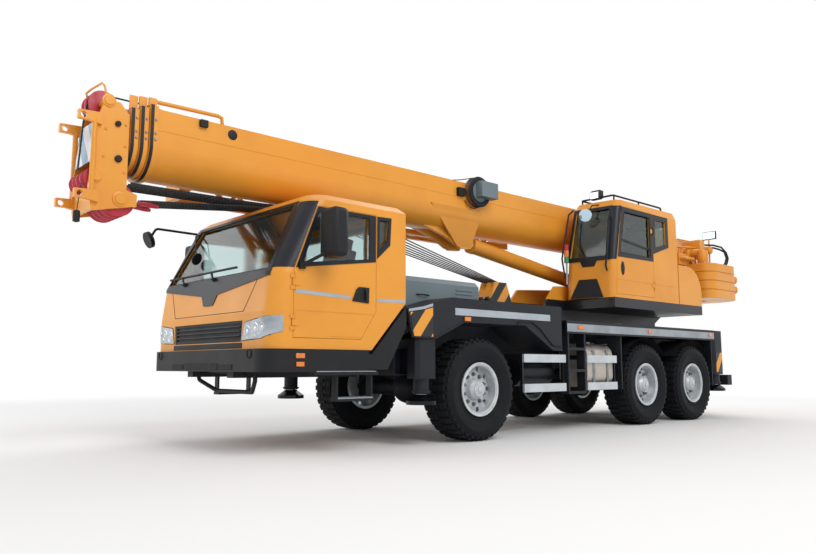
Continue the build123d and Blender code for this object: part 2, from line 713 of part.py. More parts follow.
def bumper():
    """The bumper wrapped round the cab's foot, with the steps, hook eye and front mirror."""
    top = CAB_BOTTOM - RUN_GAP
    outer = cab_section(BUMPER_FRONT, BUMPER_REAR, HALF_WIDTH, CAB_CORNER + 40, BUMPER_LOW)
    inside = HALF_WIDTH - BUMPER_WALL
    inner = cab_section(BUMPER_FRONT - BUMPER_WALL, BUMPER_REAR - 10, inside, CAB_CORNER, BUMPER_LOW)
    body = extrude(outer, top - BUMPER_LOW, dir=(0, 0, 1)) - extrude(inner, top - BUMPER_LOW, dir=(0, 0, 1))
    step = block((1520, 2280), (HALF_WIDTH - 110, HALF_WIDTH), (BUMPER_LOW - STEP_BAR, BUMPER_LOW))
    step += block((1570, 2010), (HALF_WIDTH - 130, HALF_WIDTH - 10), (STEP_LOW, STEP_LOW + STEP_BAR))
    for station in (1570, 1990):
        step += block((station, station + 20), (HALF_WIDTH - 110, HALF_WIDTH - 30), (STEP_LOW, BUMPER_LOW))
    body += both_sides(step)
    front = BUMPER_REAR + 20
    foot = BUMPER_LOW + 20
    band = [(CAB_REAR, CAB_SLANT_TOP - 40), (CAB_SLANT_FOOT, CAB_BOTTOM - 40), (front, CAB_BOTTOM - 40)]
    band += [(front, foot), (CAB_SLANT_FOOT - 200, foot), (CAB_REAR, CAB_SLANT_TOP - 250)]
    return body + both_sides(side_plate(band, (HALF_WIDTH - FENDER_PLATE, HALF_WIDTH)))


def hook_eye():
    """The bar under the bumper that the hook is tied to."""
    top = NOSE_BOTTOM + 40 - RUN_GAP
    hang = BUMPER_FRONT - BUMPER_WALL - 180
    wide, narrow, low = 595, 370, TYRE_RADIUS
    points = [(hang, -wide, top), (hang, -wide, top - 70), (hang - 100, -narrow, low)]
    points += [(hang - 100, narrow, low), (hang, wide, top - 70), (hang, wide, top)]
    return bent_tube(points, 22, 40)


def front_mirror():
    """The round mirror on an arm at the right front corner of the roof."""
    root = (CAB_EAVES_FRONT - CAB_CORNER - 60, -CAB_HALF_WIDTH - RUN_GAP - 14, CAB_EAVES - 20)
    tip = (CAB_FRONT + 120, root[1], CAB_EAVES - 150)
    arm = bent_tube([root, (tip[0] - 80, tip[1], tip[2] + 140), tip], 14, 50)
    dish = Plane(origin=tip, z_dir=(0.9, 0, -0.4)) * Cylinder(95, 45)
    return arm + dish


def grille():
    """A framed grille with level bars, in the front wall's opening."""
    band = cab_form(8) - cab_form(CAB_WALL)
    plate = band & grille_prism(RUN_GAP)
    low = CAB_BOTTOM + 70
    high = CAB_BELT - 70
    half = CAB_HALF_WIDTH - 550
    rows = 4
    pitch = (high - low - 40) / rows
    for row in range(rows):
        z = low + 20 + row * pitch
        slot = block((CAB_FRONT - 20, CAB_FRONT + 20), (-half, half), (z + pitch * 0.25, z + pitch * 0.85))
        plate -= slot
    return plate


def lamps():
    """Head lamps, side markers along the fenders and decks, and the tail lamps."""
    skin = cab_form(-6) - cab_form(CAB_WALL)
    pieces = both_sides(skin & lamp_prism(RUN_GAP))
    side = HALF_WIDTH + RUN_GAP
    deck_lamps = (DECK_FRONT - 290, (DECK_FRONT + DECK_REAR) / 2, DECK_REAR + 150)
    for station in deck_lamps:
        z = (DECK_RAIL_LOW + DECK_TOP) / 2
        pieces += both_sides(block((station - 45, station + 45), (side, side + 14), (z - 22, z + 22)))
    rear = FRAME_REAR - 190 - RUN_GAP
    pieces += both_sides(block((rear - 30, rear), (HALF_WIDTH - 490, HALF_WIDTH - 90), (545, 665)))
    return pieces


# Engine, hood, fenders, decks and tanks


def engine():
    low = BOX_LOW + 70
    body = block((-320, FRONT_BOX_X - BOX_DEPTH / 2 - 40), (-330, 330), (low, FRAME_TOP + 40))
    body += block((-200, 620), (-280, 280), (FRAME_TOP + 40, HOOD_HIGH - 130))
    lug_y = RAIL_OUT - RAIL_THICK - RUN_GAP
    for station in (-200, 480):
        body += block((station, station + 90), (-lug_y, lug_y), (FRAME_TOP - 240, FRAME_TOP - 180))
    return body


def engine_hood():
    """A folded sheet hood with bevelled top edges, open below, on two cross walls."""
    outline = [(-HOOD_HALF_WIDTH, HOOD_LOW), (-HOOD_HALF_WIDTH, HOOD_HIGH - HOOD_CHAMFER)]
    outline += [(-HOOD_HALF_WIDTH + HOOD_CHAMFER, HOOD_HIGH), (HOOD_HALF_WIDTH - HOOD_CHAMFER, HOOD_HIGH)]
    outline += [(HOOD_HALF_WIDTH, HOOD_HIGH - HOOD_CHAMFER), (HOOD_HALF_WIDTH, HOOD_LOW)]
    body = cross_plate(outline, (HOOD_REAR, HOOD_FRONT))
    inner = offset(cross_face(outline, HOOD_REAR + HOOD_WALL), -HOOD_WALL)
    hollow = extrude(inner, HOOD_FRONT - HOOD_REAR - 2 * HOOD_WALL, dir=(1, 0, 0))
    body -= hollow
    body -= Pos(0, 0, -2 * HOOD_WALL) * hollow
    foot = (FRAME_TOP + RUN_GAP, HOOD_LOW + HOOD_WALL)
    for station in (HOOD_REAR, HOOD_FRONT - HOOD_WALL):
        body += block((station, station + HOOD_WALL), (-RAIL_OUT, RAIL_OUT), foot)
    slots = 6
    for row in range(slots):
        z = HOOD_LOW + 70 + row * 55
        body -= block((HOOD_REAR - 1, HOOD_REAR + HOOD_WALL + 1), (-560, 560), (z, z + 25))
    return body


def front_fender():
    """The left front fender: side skirt, top plate, arch liner and its brackets."""
    top = FENDER_TOP
    plate = FENDER_PLATE
    outer = (HALF_WIDTH - plate, HALF_WIDTH)
    foot = top - 549
    crown = TYRE_RADIUS + 752
    arch = [(725, foot + 98), (290, crown - 7)]
    arch += [(-TYRE_RADIUS - 195, crown), (FENDER_REAR + 1.9 * BAY_STEP, foot)]
    bend, slope, tip = (480, top), (900, top - 113), (FENDER_FRONT, top - 153)
    skirt = [tip, (FENDER_FRONT - 70, foot + 96)] + arch
    skirt += [(FENDER_REAR, foot), (FENDER_REAR, top), bend, slope]
    body = side_plate(skirt, outer)
    cover = [(FENDER_REAR, top), bend, slope, tip, (tip[0], tip[1] - plate), (slope[0] - 4, slope[1] - plate)]
    cover += [(bend[0] - 4, top - plate), (FENDER_REAR, top - plate)]
    body += side_plate(cover, (FENDER_INNER, HALF_WIDTH))
    lift = [(px, pz + plate) for px, pz in reversed(arch)]
    body += side_plate(arch + lift, (DECK_INNER, HALF_WIDTH))
    body += block((FENDER_REAR, FENDER_REAR + plate), (RAIL_OUT + RUN_GAP, HALF_WIDTH), (1180, top))
    body += block((300, 340), (RAIL_OUT + RUN_GAP, DECK_INNER + 20), (1290, 1330))
    return body


def rear_deck():
    """The left rear deck with its side rail, mud flaps, ladder and brackets."""
    outer = (HALF_WIDTH - FENDER_PLATE, HALF_WIDTH)
    body = block((DECK_REAR, DECK_FRONT), (DECK_INNER, HALF_WIDTH), (DECK_TOP - FENDER_PLATE, DECK_TOP))
    body += block((DECK_REAR, DECK_FRONT), outer, (DECK_RAIL_LOW, DECK_TOP))
    flap_y = (TRACK / 2 - TYRE_WIDTH / 2, HALF_WIDTH - FENDER_PLATE)
    for station in (REAR_AXLES[0] + TYRE_RADIUS + 75, REAR_AXLES[1] - TYRE_RADIUS - 75):
        body += block((station - 12, station + 12), flap_y, (520, DECK_TOP))
    bracket_y = (RAIL_OUT + RUN_GAP, HALF_WIDTH - FENDER_PLATE)
    for station in (DECK_FRONT - 60, REAR_AXLES[0] + 700, sum(REAR_AXLES) / 2, DECK_REAR + 20):
        body += block((station, station + 24), bracket_y, (DECK_RAIL_LOW, DECK_TOP - FENDER_PLATE))
    ladder_y = (HALF_WIDTH - 150, HALF_WIDTH - 25)
    ladder_x = (DECK_FRONT - 4.2 * BAY_STEP, DECK_FRONT - 60)
    for station in ladder_x:
        body += block((station - 15, station + 15), ladder_y, (480, DECK_RAIL_LOW + 40))
    for z in (480, 760, 1040):
        body += block(ladder_x, ladder_y, (z, z + 35))
    return body


def tanks():
    """Fuel tank and silencer on the left, oil tank and battery box on the right, each on its arms."""
    inner, outer = HALF_WIDTH - 530, HALF_WIDTH - 80
    arm_y = (RAIL_OUT + RUN_GAP, inner + 40)
    rear_x = (BAY_REAR + 2.25 * BAY_STEP, BAY_REAR + 8.25 * BAY_STEP)
    front_x = (FENDER_REAR - 0.5 * BAY_STEP, FENDER_REAR + 6 * BAY_STEP)
    low = TYRE_RADIUS - 15
    fuel = fillet(block(rear_x, (inner, outer), (low, low + 570)).edges().filter_by(Axis.X), 150)
    oil = fillet(block(rear_x, (-outer, -inner), (low, low + 620)).edges().filter_by(Axis.X), 60)
    pipe_y, pipe_z = inner + 180, low + 200
    silencer = rod((front_x[0], pipe_y, pipe_z), (front_x[1], pipe_y, pipe_z), SILENCER_RADIUS)
    battery = fillet(block(front_x, (-outer, -inner), (low + 60, low + 450)).edges().filter_by(Axis.Z), 25)
    for station in (rear_x[0] + 60, rear_x[1] - 110):
        fuel += block((station, station + 50), arm_y, (930, 1000))
        oil += block((station, station + 50), (-arm_y[1], -arm_y[0]), (930, 1000))
    for station in (front_x[0] + 100, front_x[1] - 150):
        silencer += block((station, station + 50), (arm_y[0], pipe_y), (905, 960))
        battery += block((station, station + 50), (-arm_y[1], -arm_y[0]), (910, 980))
    return [fuel, oil, silencer, battery]


def side_guards():
    """Level guard bars between the wheels, on posts that reach out from the frame rails."""
    bar_y = (HALF_WIDTH - 70, HALF_WIDTH - 40)
    pieces = []
    spans = [(FENDER_REAR - 1.25 * BAY_STEP, FENDER_REAR + 7.1 * BAY_STEP)]
    spans += [(BAY_REAR + 1.75 * BAY_STEP, BAY_REAR + 8.75 * BAY_STEP)]
    for rear, front in spans:
        guard = None
        for z in (570, 930):
            bar = block((rear, front), bar_y, (z - 50, z + 50))
            guard = bar if guard is None else guard + bar
        for station in (rear, front - 24):
            guard += block((station, station + 24), (HALF_WIDTH - 110, HALF_WIDTH - 70), (520, 980))
            guard += block((station, station + 24), (RAIL_OUT + RUN_GAP, HALF_WIDTH - 70), (920, 980))
        pieces += both_sides(guard)
    return pieces


def hook_block():
    """The striped hook block lying in its cradle behind the hood."""
    x0, x1 = HOOK_X
    middle = (x0 + x1) / 2
    y = (HOOK_Y - 155, HOOK_Y + 155)
    cradle = block((x0 - 40, x1 + 40), y, (FRAME_TOP + RUN_GAP, CRADLE_TOP))
    cradle -= block((x0, x1), (y[0] + 15, y[1] - 15), (FRAME_TOP + 40, CRADLE_TOP + 1))
    cheek = [(x0 + 60, CRADLE_TOP - 60), (x0 + 10, CRADLE_TOP + 200), (x0 + 110, HOOK_TOP)]
    cheek += [(x1 - 110, HOOK_TOP), (x1 - 10, CRADLE_TOP + 200), (x1 - 60, CRADLE_TOP - 60)]
    body = None
    for offset_y in (-110, 0, 110):
        plate = side_plate(cheek, (HOOK_Y + offset_y - 16, HOOK_Y + offset_y + 16))
        body = plate if body is None else body + plate
    body += cross_pin(middle, CRADLE_TOP + 230, 185, (HOOK_Y - 100, HOOK_Y + 100))
    body += cross_pin(middle, CRADLE_TOP - 20, 45, (y[0] + 5, y[1] - 5))
    return cradle + body


# Upper works


def turntable():
    """Slew ring and bed, two cheeks that carry the boom's pivot, cross plates, pins and side decks."""
    ring = drum(SLEW_X, RING_RADIUS, (SEAT_TOP + RUN_GAP, RING_TOP + RUN_GAP))
    bed = block((UPPER_REAR, BED_FRONT), (-CHEEK_OUT, CHEEK_OUT), (RING_TOP, BED_TOP))
    tail = POCKET_REAR + RUN_GAP
    cheek = [(BED_FRONT, BED_TOP), (BED_FRONT, BED_TOP + 190), (BED_FRONT - 230, BED_TOP + 440)]
    cheek += [(SLEW_X + 250, BED_TOP + 500), (LUFF_FOOT[0] + 250, LUFF_FOOT[1] + 170)]
    cheek += [(PIVOT_X + 330, PIVOT_Z - 60), (PIVOT_X + 150, PIVOT_Z + 160), (PIVOT_X - 150, PIVOT_Z + 160)]
    cheek += [(PIVOT_X - 300, PIVOT_Z - 90), (PIVOT_X - 560, WINCH_SEAT), (tail, WINCH_SEAT)]
    cheek += [(tail, WEIGHT_LOW + 80), (WEIGHT_FRONT + 20, WEIGHT_LOW - 15)]
    cheek += [(UPPER_REAR - 350, UPPER_DECK_LOW + 100), (UPPER_REAR, BED_TOP)]
    inner = CHEEK_OUT - CHEEK_THICK
    pivot = cross_pin(PIVOT_X, PIVOT_Z, PIVOT_RADIUS, (-CHEEK_OUT - 30, CHEEK_OUT + 30))
    foot = cross_pin(*LUFF_FOOT, FOOT_PIN_RADIUS, (-CHEEK_OUT - 20, CHEEK_OUT + 20))
    cheeks = both_sides(side_plate(cheek, (inner, CHEEK_OUT)) - pivot - foot)
    rear_plate = block((tail, tail + 60), (-inner, inner), (WEIGHT_LOW + 80, WEIGHT_LOW + 400))
    front_z = (UPPER_DECK_TOP, UPPER_DECK_TOP + 550)
    front_plate = block((UPPER_REAR - 120, UPPER_REAR - 60), (-inner, inner), front_z)
    deck_z = (UPPER_DECK_LOW, UPPER_DECK_TOP)
    deck = block((UPPER_REAR, OPERATOR_FRONT_LEFT), (CHEEK_OUT, OPERATOR_OUTER), deck_z)
    return [ring + bed, pivot, foot, rear_plate, front_plate] + cheeks + both_sides(deck)


def left_cover():
    """The rounded cover behind the operator's cab."""
    z = UPPER_DECK_TOP + RUN_GAP
    front = OPERATOR_REAR - 25
    high = UPPER_DECK_TOP + 620
    inner = OPERATOR_INNER + 300
    crest = (front - 330, inner, high)
    hip = (UPPER_REAR, inner, high - 430)
    bow = ThreePointArc(crest, (front - 600, inner, high - 120), hip)
    rest = Polyline(hip, (UPPER_REAR, inner, z), (front, inner, z), (front, inner, high), crest)
    return extrude(make_face([bow, *rest.edges()]), OPERATOR_OUTER - inner, dir=(0, 1, 0))


def right_cover():
    """The closed housing on the right of the boom, for pumps and the oil cooler."""
    z = (UPPER_DECK_TOP + RUN_GAP, UPPER_DECK_TOP + 280)
    body = block((UPPER_REAR, OPERATOR_REAR + 200), (-OPERATOR_OUTER, -OPERATOR_INNER), z)
    return chamfer(body.edges().filter_by(Axis.X).group_by(Axis.Z)[-1], 90)


def counterweight():
    """Stacked cast plates with rounded corners, open in front for the winch frame."""
    half = WEIGHT_HALF_WIDTH
    face = plan_face((TAIL, WEIGHT_FRONT), (-half, half), 0)
    rear = [vertex for vertex in face.vertices() if vertex.X < (TAIL + WEIGHT_FRONT) / 2]
    face = fillet(rear, WEIGHT_CORNER)
    body = extrude(Pos(0, 0, WEIGHT_LOW) * face, WEIGHT_HIGH - WEIGHT_LOW, dir=(0, 0, 1))
    pocket_y = (-POCKET_HALF_WIDTH, POCKET_HALF_WIDTH)
    body -= block((POCKET_REAR, WEIGHT_FRONT + 1), pocket_y, (WEIGHT_LOW - 1, WEIGHT_HIGH + 1))
    pitch = (WEIGHT_HIGH - WEIGHT_LOW) / WEIGHT_LAYERS
    rim = Pos(0, 0, WEIGHT_LOW) * (face - offset(face, -12))
    for layer in range(1, WEIGHT_LAYERS):
        body -= Pos(0, 0, layer * pitch - 8) * extrude(rim, 16, dir=(0, 0, 1))
    return body


def winches():
    """Two rope drums with end flanges, each on a saddle."""
    pieces = []
    for station, z, radius in (MAIN_WINCH, SECOND_WINCH):
        half = DRUM_HALF_LENGTH
        drum = cross_pin(station, z, radius - 25, (-half, half))
        for sign in (1, -1):
            drum += cross_pin(station, z, radius + 20, (sign * (half - 20), sign * half))
            drum += cross_pin(station, z, radius - 60, (sign * half, sign * (half + 150)))
        pieces.append(drum)
    half = DRUM_HALF_LENGTH
    station, z, radius = MAIN_WINCH
    seat = WINCH_SEAT + RUN_GAP
    saddle = [(station - 120, seat), (station + 150, seat), (station + 60, z + 60), (station - 60, z + 60)]
    main_drum = pieces[0] + both_sides(side_plate(saddle, (half + 20, CHEEK_OUT)))
    station, z, radius = SECOND_WINCH
    seat = WEIGHT_HIGH + RUN_GAP
    stand = [(station - 160, seat), (station + 85, seat), (station + 60, z + 60), (station - 60, z + 60)]
    second_drum = pieces[1] + both_sides(side_plate(stand, (half + 20, half + 90)))
    return [main_drum, second_drum]


def operator_form(inset):
    """The operator's cab as a closed form, moved inward by a distance."""
    top_lean = OPERATOR_FRONT - OPERATOR_TOP_FRONT
    levels = [(UPPER_DECK_TOP + RUN_GAP + inset, 0), (OPERATOR_WAIST, 40)]
    levels += [(OPERATOR_ROOF - 110, top_lean), (OPERATOR_ROOF - inset, top_lean + 60)]
    sections = []
    for height, lean in levels:
        front = OPERATOR_FRONT - lean - inset
        left = OPERATOR_FRONT_LEFT - lean * 0.8 - inset
        draw = 35 if height > OPERATOR_ROOF - 105 else 0
        rear = OPERATOR_REAR + inset + draw
        inner = OPERATOR_INNER + inset + draw
        outer = OPERATOR_OUTER - inset - draw
        points = [(rear, inner), (front, inner), (left, outer), (rear, outer)]
        face = make_face(Polyline(*points, close=True))
        corners = [vertex for vertex in face.vertices() if vertex.X > (OPERATOR_REAR + OPERATOR_FRONT) / 2]
        sections.append(Pos(0, 0, height) * fillet(corners, OPERATOR_CORNER - inset))
    return loft(sections, ruled=True)


OPERATOR_WALL_Y = (OPERATOR_OUTER - 150, OPERATOR_OUTER + 50)


def operator_door_outline():
    front = OPERATOR_FRONT_LEFT
    return [(front - 60, OPERATOR_DOOR_LOW), (front - 100, OPERATOR_WAIST), (front - 265, OPERATOR_DOOR_HIGH),
            (OPERATOR_DOOR_REAR, OPERATOR_DOOR_HIGH), (OPERATOR_DOOR_REAR, OPERATOR_DOOR_LOW)]


def operator_door_window():
    front, rear = OPERATOR_FRONT_LEFT, OPERATOR_DOOR_REAR + 80
    return [(front - 170, OPERATOR_SILL), (front - 320, OPERATOR_HEAD),
            (rear, OPERATOR_HEAD), (rear, OPERATOR_SILL)]


def operator_openings(gap):
    """The operator cab's fixed windows: front, left rear, right and back."""
    inner, outer = OPERATOR_INNER + 70, OPERATOR_OUTER - 100
    sill, head = OPERATOR_SILL, OPERATOR_HEAD
    front_outline = [(inner, sill - 40), (outer, sill - 40), (outer - 30, head + 40), (inner + 30, head + 40)]
    front = cross_face(front_outline, OPERATOR_TOP_FRONT - 150)
    edge, end = OPERATOR_DOOR_REAR - 60, OPERATOR_DOOR_REAR - 390
    left_outline = [(edge, sill + 160), (edge, head - 10), (end, head - 10), (end, sill + 260)]
    left = side_face(left_outline, OPERATOR_WALL_Y[0])
    rear, fore = OPERATOR_REAR + 300, OPERATOR_REAR + 1450
    right_outline = [(fore, sill), (fore, head - 10), (rear, head - 10), (rear, sill)]
    right = side_face(right_outline, OPERATOR_INNER - 50)
    near, far = OPERATOR_INNER + 120, OPERATOR_OUTER - 120
    low, high = sill + 120, head - 30
    back = cross_face([(near, low), (far, low), (far, high), (near, high)], OPERATOR_REAR - 20)
    forward, across = (1, 0, 0), (0, 1, 0)
    runs = [(front, 400, forward), (left, 200, across), (right, 150, across), (back, 120, forward)]
    return [pane_prism(face, run, direction, gap) for face, run, direction in runs]


def operator_door_prism(gap):
    face = side_face(operator_door_outline(), OPERATOR_WALL_Y[0])
    return pane_prism(face, OPERATOR_WALL_Y[1] - OPERATOR_WALL_Y[0], (0, 1, 0), gap)


def operator_door_pane(gap):
    face = side_face(operator_door_window(), OPERATOR_WALL_Y[0])
    return pane_prism(face, OPERATOR_WALL_Y[1] - OPERATOR_WALL_Y[0], (0, 1, 0), gap)


def operator_door_hinges():
    return door_hinges(OPERATOR_DOOR_REAR, OPERATOR_OUTER, OPERATOR_DOOR_HINGES, 1)


def operator_cab(walls):
    _, hinge, _, room = operator_door_hinges()
    shell = walls - operator_door_prism(0) - room
    for opening in operator_openings(0):
        shell -= opening
    return shell + hinge


def operator_door(walls):
    hinge, _, room, _ = operator_door_hinges()
    return (walls & operator_door_prism(PANEL_GAP)) - operator_door_pane(0) - room + hinge


def operator_seat():
    """The operator's seat with its back and arm consoles."""
    floor = UPPER_DECK_TOP + RUN_GAP + OPERATOR_WALL + RUN_GAP
    rear = OPERATOR_REAR + 600
    side = OPERATOR_WALL + OPERATOR_SEAT_GAP
    arms = (OPERATOR_INNER + side, OPERATOR_OUTER - side)
    wide = (arms[0] + OPERATOR_CONSOLE, arms[1] - OPERATOR_CONSOLE)
    seat = block((rear, rear + 520), wide, (floor + 320, floor + 440))
    seat += block((rear + 100, rear + 400), (wide[0] + 100, wide[1] - 100), (floor, floor + 320))
    back = [(rear, floor + 400), (rear + 120, floor + 400)]
    back += [(rear - 30, floor + 1120), (rear - 140, floor + 1120)]
    seat += side_plate(back, wide)
    seat += block((rear + 100, rear + 300), arms, (floor + 420, floor + 440))
    for y in ((arms[0], wide[0] - 10), (wide[1] + 10, arms[1])):
        seat += block((rear + 100, rear + 580), y, (floor + 420, floor + 560))
    return seat


def operator_rail():
    """The guard rail round the roof with its lamp."""
    z = OPERATOR_ROOF + 70
    low = OPERATOR_ROOF + RUN_GAP
    x0, x1 = OPERATOR_REAR + 250, OPERATOR_TOP_FRONT - 130
    y0, y1 = OPERATOR_INNER + 110, OPERATOR_OUTER - 110
    points = [(x0, y1, low), (x0, y1, z), (x1, y1, z), (x1, y0, z), (x0, y0, z), (x0, y0, low)]
    rail = bent_tube(points, 14, 30)
    for x, y in ((x1, y1), (x1, y0), ((x0 + x1) / 2, y1), ((x0 + x1) / 2, y0)):
        rail += rod((x - 20, y, low), (x - 20, y, z), 12)
    rail += block((x1 - 60, x1 + 40), ((y0 + y1) / 2 - 70, (y0 + y1) / 2 + 70), (z - 5, z + 110))
    return rail


# Boom


def boom_face(level, x, grow=0):
    """The boom's U section at a nesting level, grown outward by a distance."""
    inset = level * SECTION_STEP - grow
    half = BOOM_HALF_WIDTH - inset
    low, high = BOOM_LOW + inset, BOOM_HIGH - inset
    face = cross_face([(-half, low), (half, low), (half, high), (-half, high)], x)
    belly = [vertex for vertex in face.vertices() if vertex.Z < (low + high) / 2]
    return fillet(belly, BOOM_BELLY - inset)


def boom_tube(level, rear, front):
    outer = extrude(boom_face(level, rear), front - rear, dir=(1, 0, 0))
    return outer - extrude(boom_face(level, rear, -BOOM_WALL), front - rear, dir=(1, 0, 0))


def collar(level, front):
    """The stiff ring at a section's mouth, whose pads guide the next section."""
    start = front - COLLAR_LENGTH
    ring = extrude(boom_face(level, start, COLLAR_PROUD), COLLAR_LENGTH, dir=(1, 0, 0))
    ring -= extrude(boom_face(level + 1, start, RUN_GAP), COLLAR_LENGTH, dir=(1, 0, 0))
    half = BOOM_HALF_WIDTH - level * SECTION_STEP
    fin_z = (BOOM_HIGH - level * SECTION_STEP, BOOM_HIGH + FIN_HEIGHT)
    return ring + both_sides(block((start, front), (half - 60, half - 35), fin_z))


def section_front(level):
    return BOOM_FRONT + level * (COLLAR_LENGTH + SLIDE_GAP)


def boom_section(level):
    """A sliding section: tube, mouth collar and the tail ring that runs inside its outer neighbour."""
    tail = SECTION_TAIL + (level - 1) * SECTION_TAIL_STEP
    front = section_front(level)
    ring = extrude(boom_face(level - 1, tail, -BOOM_WALL - RUN_GAP), 120, dir=(1, 0, 0))
    ring -= extrude(boom_face(level, tail, -BOOM_WALL), 120, dir=(1, 0, 0))
    return boom_tube(level, tail, front) + ring + collar(level, front)


def boom_base():
    """The base section with its pivot bosses, cylinder bracket and cable reel."""
    body = boom_tube(0, BOOM_REAR, BOOM_FRONT) + collar(0, BOOM_FRONT)
    boss_out = CHEEK_OUT - CHEEK_THICK - SLIDE_GAP
    for sign in (1, -1):
        boss_y = (sign * (BOOM_HALF_WIDTH - 60), sign * boss_out)
        body += cross_pin(PIVOT_X, PIVOT_Z, PIVOT_RADIUS + 60, boss_y)
    body -= cross_pin(PIVOT_X, PIVOT_Z, PIVOT_RADIUS + RUN_GAP, (-CHEEK_OUT, CHEEK_OUT))
    eye_x, eye_z = LUFF_EYE
    inner = EYE_HALF_WIDTH + SLIDE_GAP
    rear = eye_x - EYE_RADIUS - 30
    cheek = [(eye_x + 880, BOOM_LOW + 40), (rear, BOOM_LOW + 40), (rear, eye_z - 60)]
    cheek += [(rear + 50, eye_z - 110), (eye_x + 130, eye_z - 120), (eye_x + 440, BOOM_LOW - 80)]
    bracket = side_plate(cheek, (inner, inner + 55))
    belly = extrude(boom_face(0, BOOM_REAR, -BOOM_WALL), BOOM_FRONT - BOOM_REAR, dir=(1, 0, 0))
    top = plan_face((rear, eye_x + 850), (BOOM_HALF_WIDTH - 4, BOOM_HALF_WIDTH + 16), BOOM_LOW + BOOM_BELLY)
    foot = plan_face((rear + 50, eye_x + 200), (inner + 25, inner + 55), eye_z - 100)
    gusset = loft([foot, top], ruled=True)
    body += [piece - belly for piece in both_sides(bracket) + both_sides(gusset)]
    body += both_sides(cross_pin(eye_x, eye_z, SHEAVE_PIN, (inner, inner + 75)))
    reel_x, reel_z = REEL_PLACE
    body += cross_pin(reel_x, reel_z, REEL_RADIUS, (BOOM_HALF_WIDTH, BOOM_HALF_WIDTH + REEL_WIDTH))
    box_y = (BOOM_HALF_WIDTH + REEL_WIDTH - 10, BOOM_HALF_WIDTH + REEL_WIDTH + 120)
    body += block((reel_x - REEL_RADIUS - 35, reel_x + 75), box_y, (reel_z - 85, reel_z + 120))
    return body


def boom_head():
    """The head plates, sheave box and jib forks welded on the last section's end."""
    half = BOOM_HALF_WIDTH - 3 * SECTION_STEP
    outer = half + HEAD_PLATE
    start = section_front(3) - COLLAR_LENGTH + SLIDE_GAP
    front = NOSE - 130
    low_x, low_z, low_r = LOW_SHEAVE
    top = BOOM_HIGH - 5
    plate = [(start, BOOM_LOW - 180), (start, top - 105), (NOSE - 375, top), (NOSE - 240, top)]
    plate += [(NOSE - 190, top - 155), (front, BOOM_LOW - 150), (front, BOOM_LOW - 190)]
    plate += [(front - 25, BOOM_LOW - 410), (low_x - low_r, low_z - 50), (low_x - low_r, low_z + 60)]
    head = Part() + both_sides(side_plate(plate, (half - 2, outer)))
    under_nose = NOSE_SHEAVE[1] - NOSE_SHEAVE[2] - 3 * SLIDE_GAP
    head += block((front - 55, front - 25), (-half, half), (BOOM_LOW - 400, under_nose))
    head += block((start + 95, NOSE - 160), (-half, half), (BOOM_LOW + 150, BOOM_LOW + 190))
    for x, z, radius in (TOP_SHEAVE, LOW_SHEAVE, NOSE_SHEAVE):
        head += cross_pin(x, z, SHEAVE_PIN, (-outer - 15, outer + 15))
    fork = Part()
    for height in JIB_PIN_HEIGHTS:
        prong = [(NOSE - 210, height - 60), (NOSE - 90, height - 40), (NOSE, height - 40)]
        prong += [(NOSE, height + 40), (NOSE - 210, height + 50)]
        fork += side_plate(prong, (outer - 10, outer + 34))
    bar_x, bar_y = NOSE - 150, outer + 12
    fork += rod((bar_x, bar_y, JIB_PIN_HEIGHTS[1]), (bar_x, bar_y, JIB_PIN_HEIGHTS[0]), 24)
    for height in JIB_PIN_HEIGHTS:
        fork -= cross_pin(JIB_PIN_X, height, JIB_PIN_RADIUS, (0, outer + 100))
    return head + both_sides(fork)


def sheave(place, half, count):
    """A stack of grooved rope sheaves on one pin."""
    x, z, radius = place
    width = 2 * half / count
    bore = SHEAVE_PIN + RUN_GAP
    profile = [(bore, -half)]
    for row in range(count):
        y = -half + row * width
        deep = radius - SHEAVE_GROOVE
        profile += [(radius, y + SHEAVE_RIM), (deep, y + width * 0.4)]
        profile += [(deep, y + width * 0.6), (radius, y + width - SHEAVE_RIM)]
    profile += [(bore, half)]
    return Pos(x, 0, z) * turned_outline(profile)


def sheaves():
    half = BOOM_HALF_WIDTH - 3 * SECTION_STEP - 2 - SLIDE_GAP
    top = sheave(TOP_SHEAVE, SHEAVE_WIDTH * TOP_SHEAVES / 2, TOP_SHEAVES)
    return [top, sheave(LOW_SHEAVE, half, LOW_SHEAVES), sheave(NOSE_SHEAVE, half, LOW_SHEAVES)]


def jib():
    """The lattice jib stowed along the boom: four chords with laced sides, and two hangers."""
    y0, y1 = JIB_Y
    z0, z1 = JIB_Z
    corners = [(y0, z0), (y1, z0), (y1, z1), (y0, z1)]
    body = Part()
    for y, z in corners:
        body += square_bar((JIB_REAR, y, z), (JIB_FRONT, y, z), JIB_CHORD * 2)
    bay = (JIB_FRONT - JIB_REAR) / JIB_BAYS
    for side in range(4):
        first, second = corners[side], corners[(side + 1) % 4]
        for count in range(JIB_BAYS):
            x = JIB_REAR + count * bay
            ends = (first, second) if count % 2 else (second, first)
            body += square_bar((x, *ends[0]), (x + bay, *ends[1]), JIB_LACING)
    for x in (JIB_REAR, JIB_FRONT):
        body += block((x - 40, x + 40), (y0 - JIB_CHORD, y1 + JIB_CHORD), (z0 - JIB_CHORD, z1 + JIB_CHORD))
    for x in (JIB_REAR + 2.5 * bay, JIB_FRONT - 2.5 * bay):
        body += block((x - 50, x + 50), (y1, -BOOM_HALF_WIDTH - RUN_GAP), (z1 - 30, z1 + 30))
    return body


def luff_frame(shape):
    """A piece drawn along +X from the cylinder's foot, turned onto its axis at rest."""
    lift = degrees(atan2(LUFF_EYE[1] - LUFF_FOOT[1], LUFF_EYE[0] - LUFF_FOOT[0]))
    return Pos(LUFF_FOOT[0], 0, LUFF_FOOT[1]) * Rot(0, -lift, 0) * shape


def luff_length():
    return hypot(LUFF_EYE[0] - LUFF_FOOT[0], LUFF_EYE[1] - LUFF_FOOT[1])


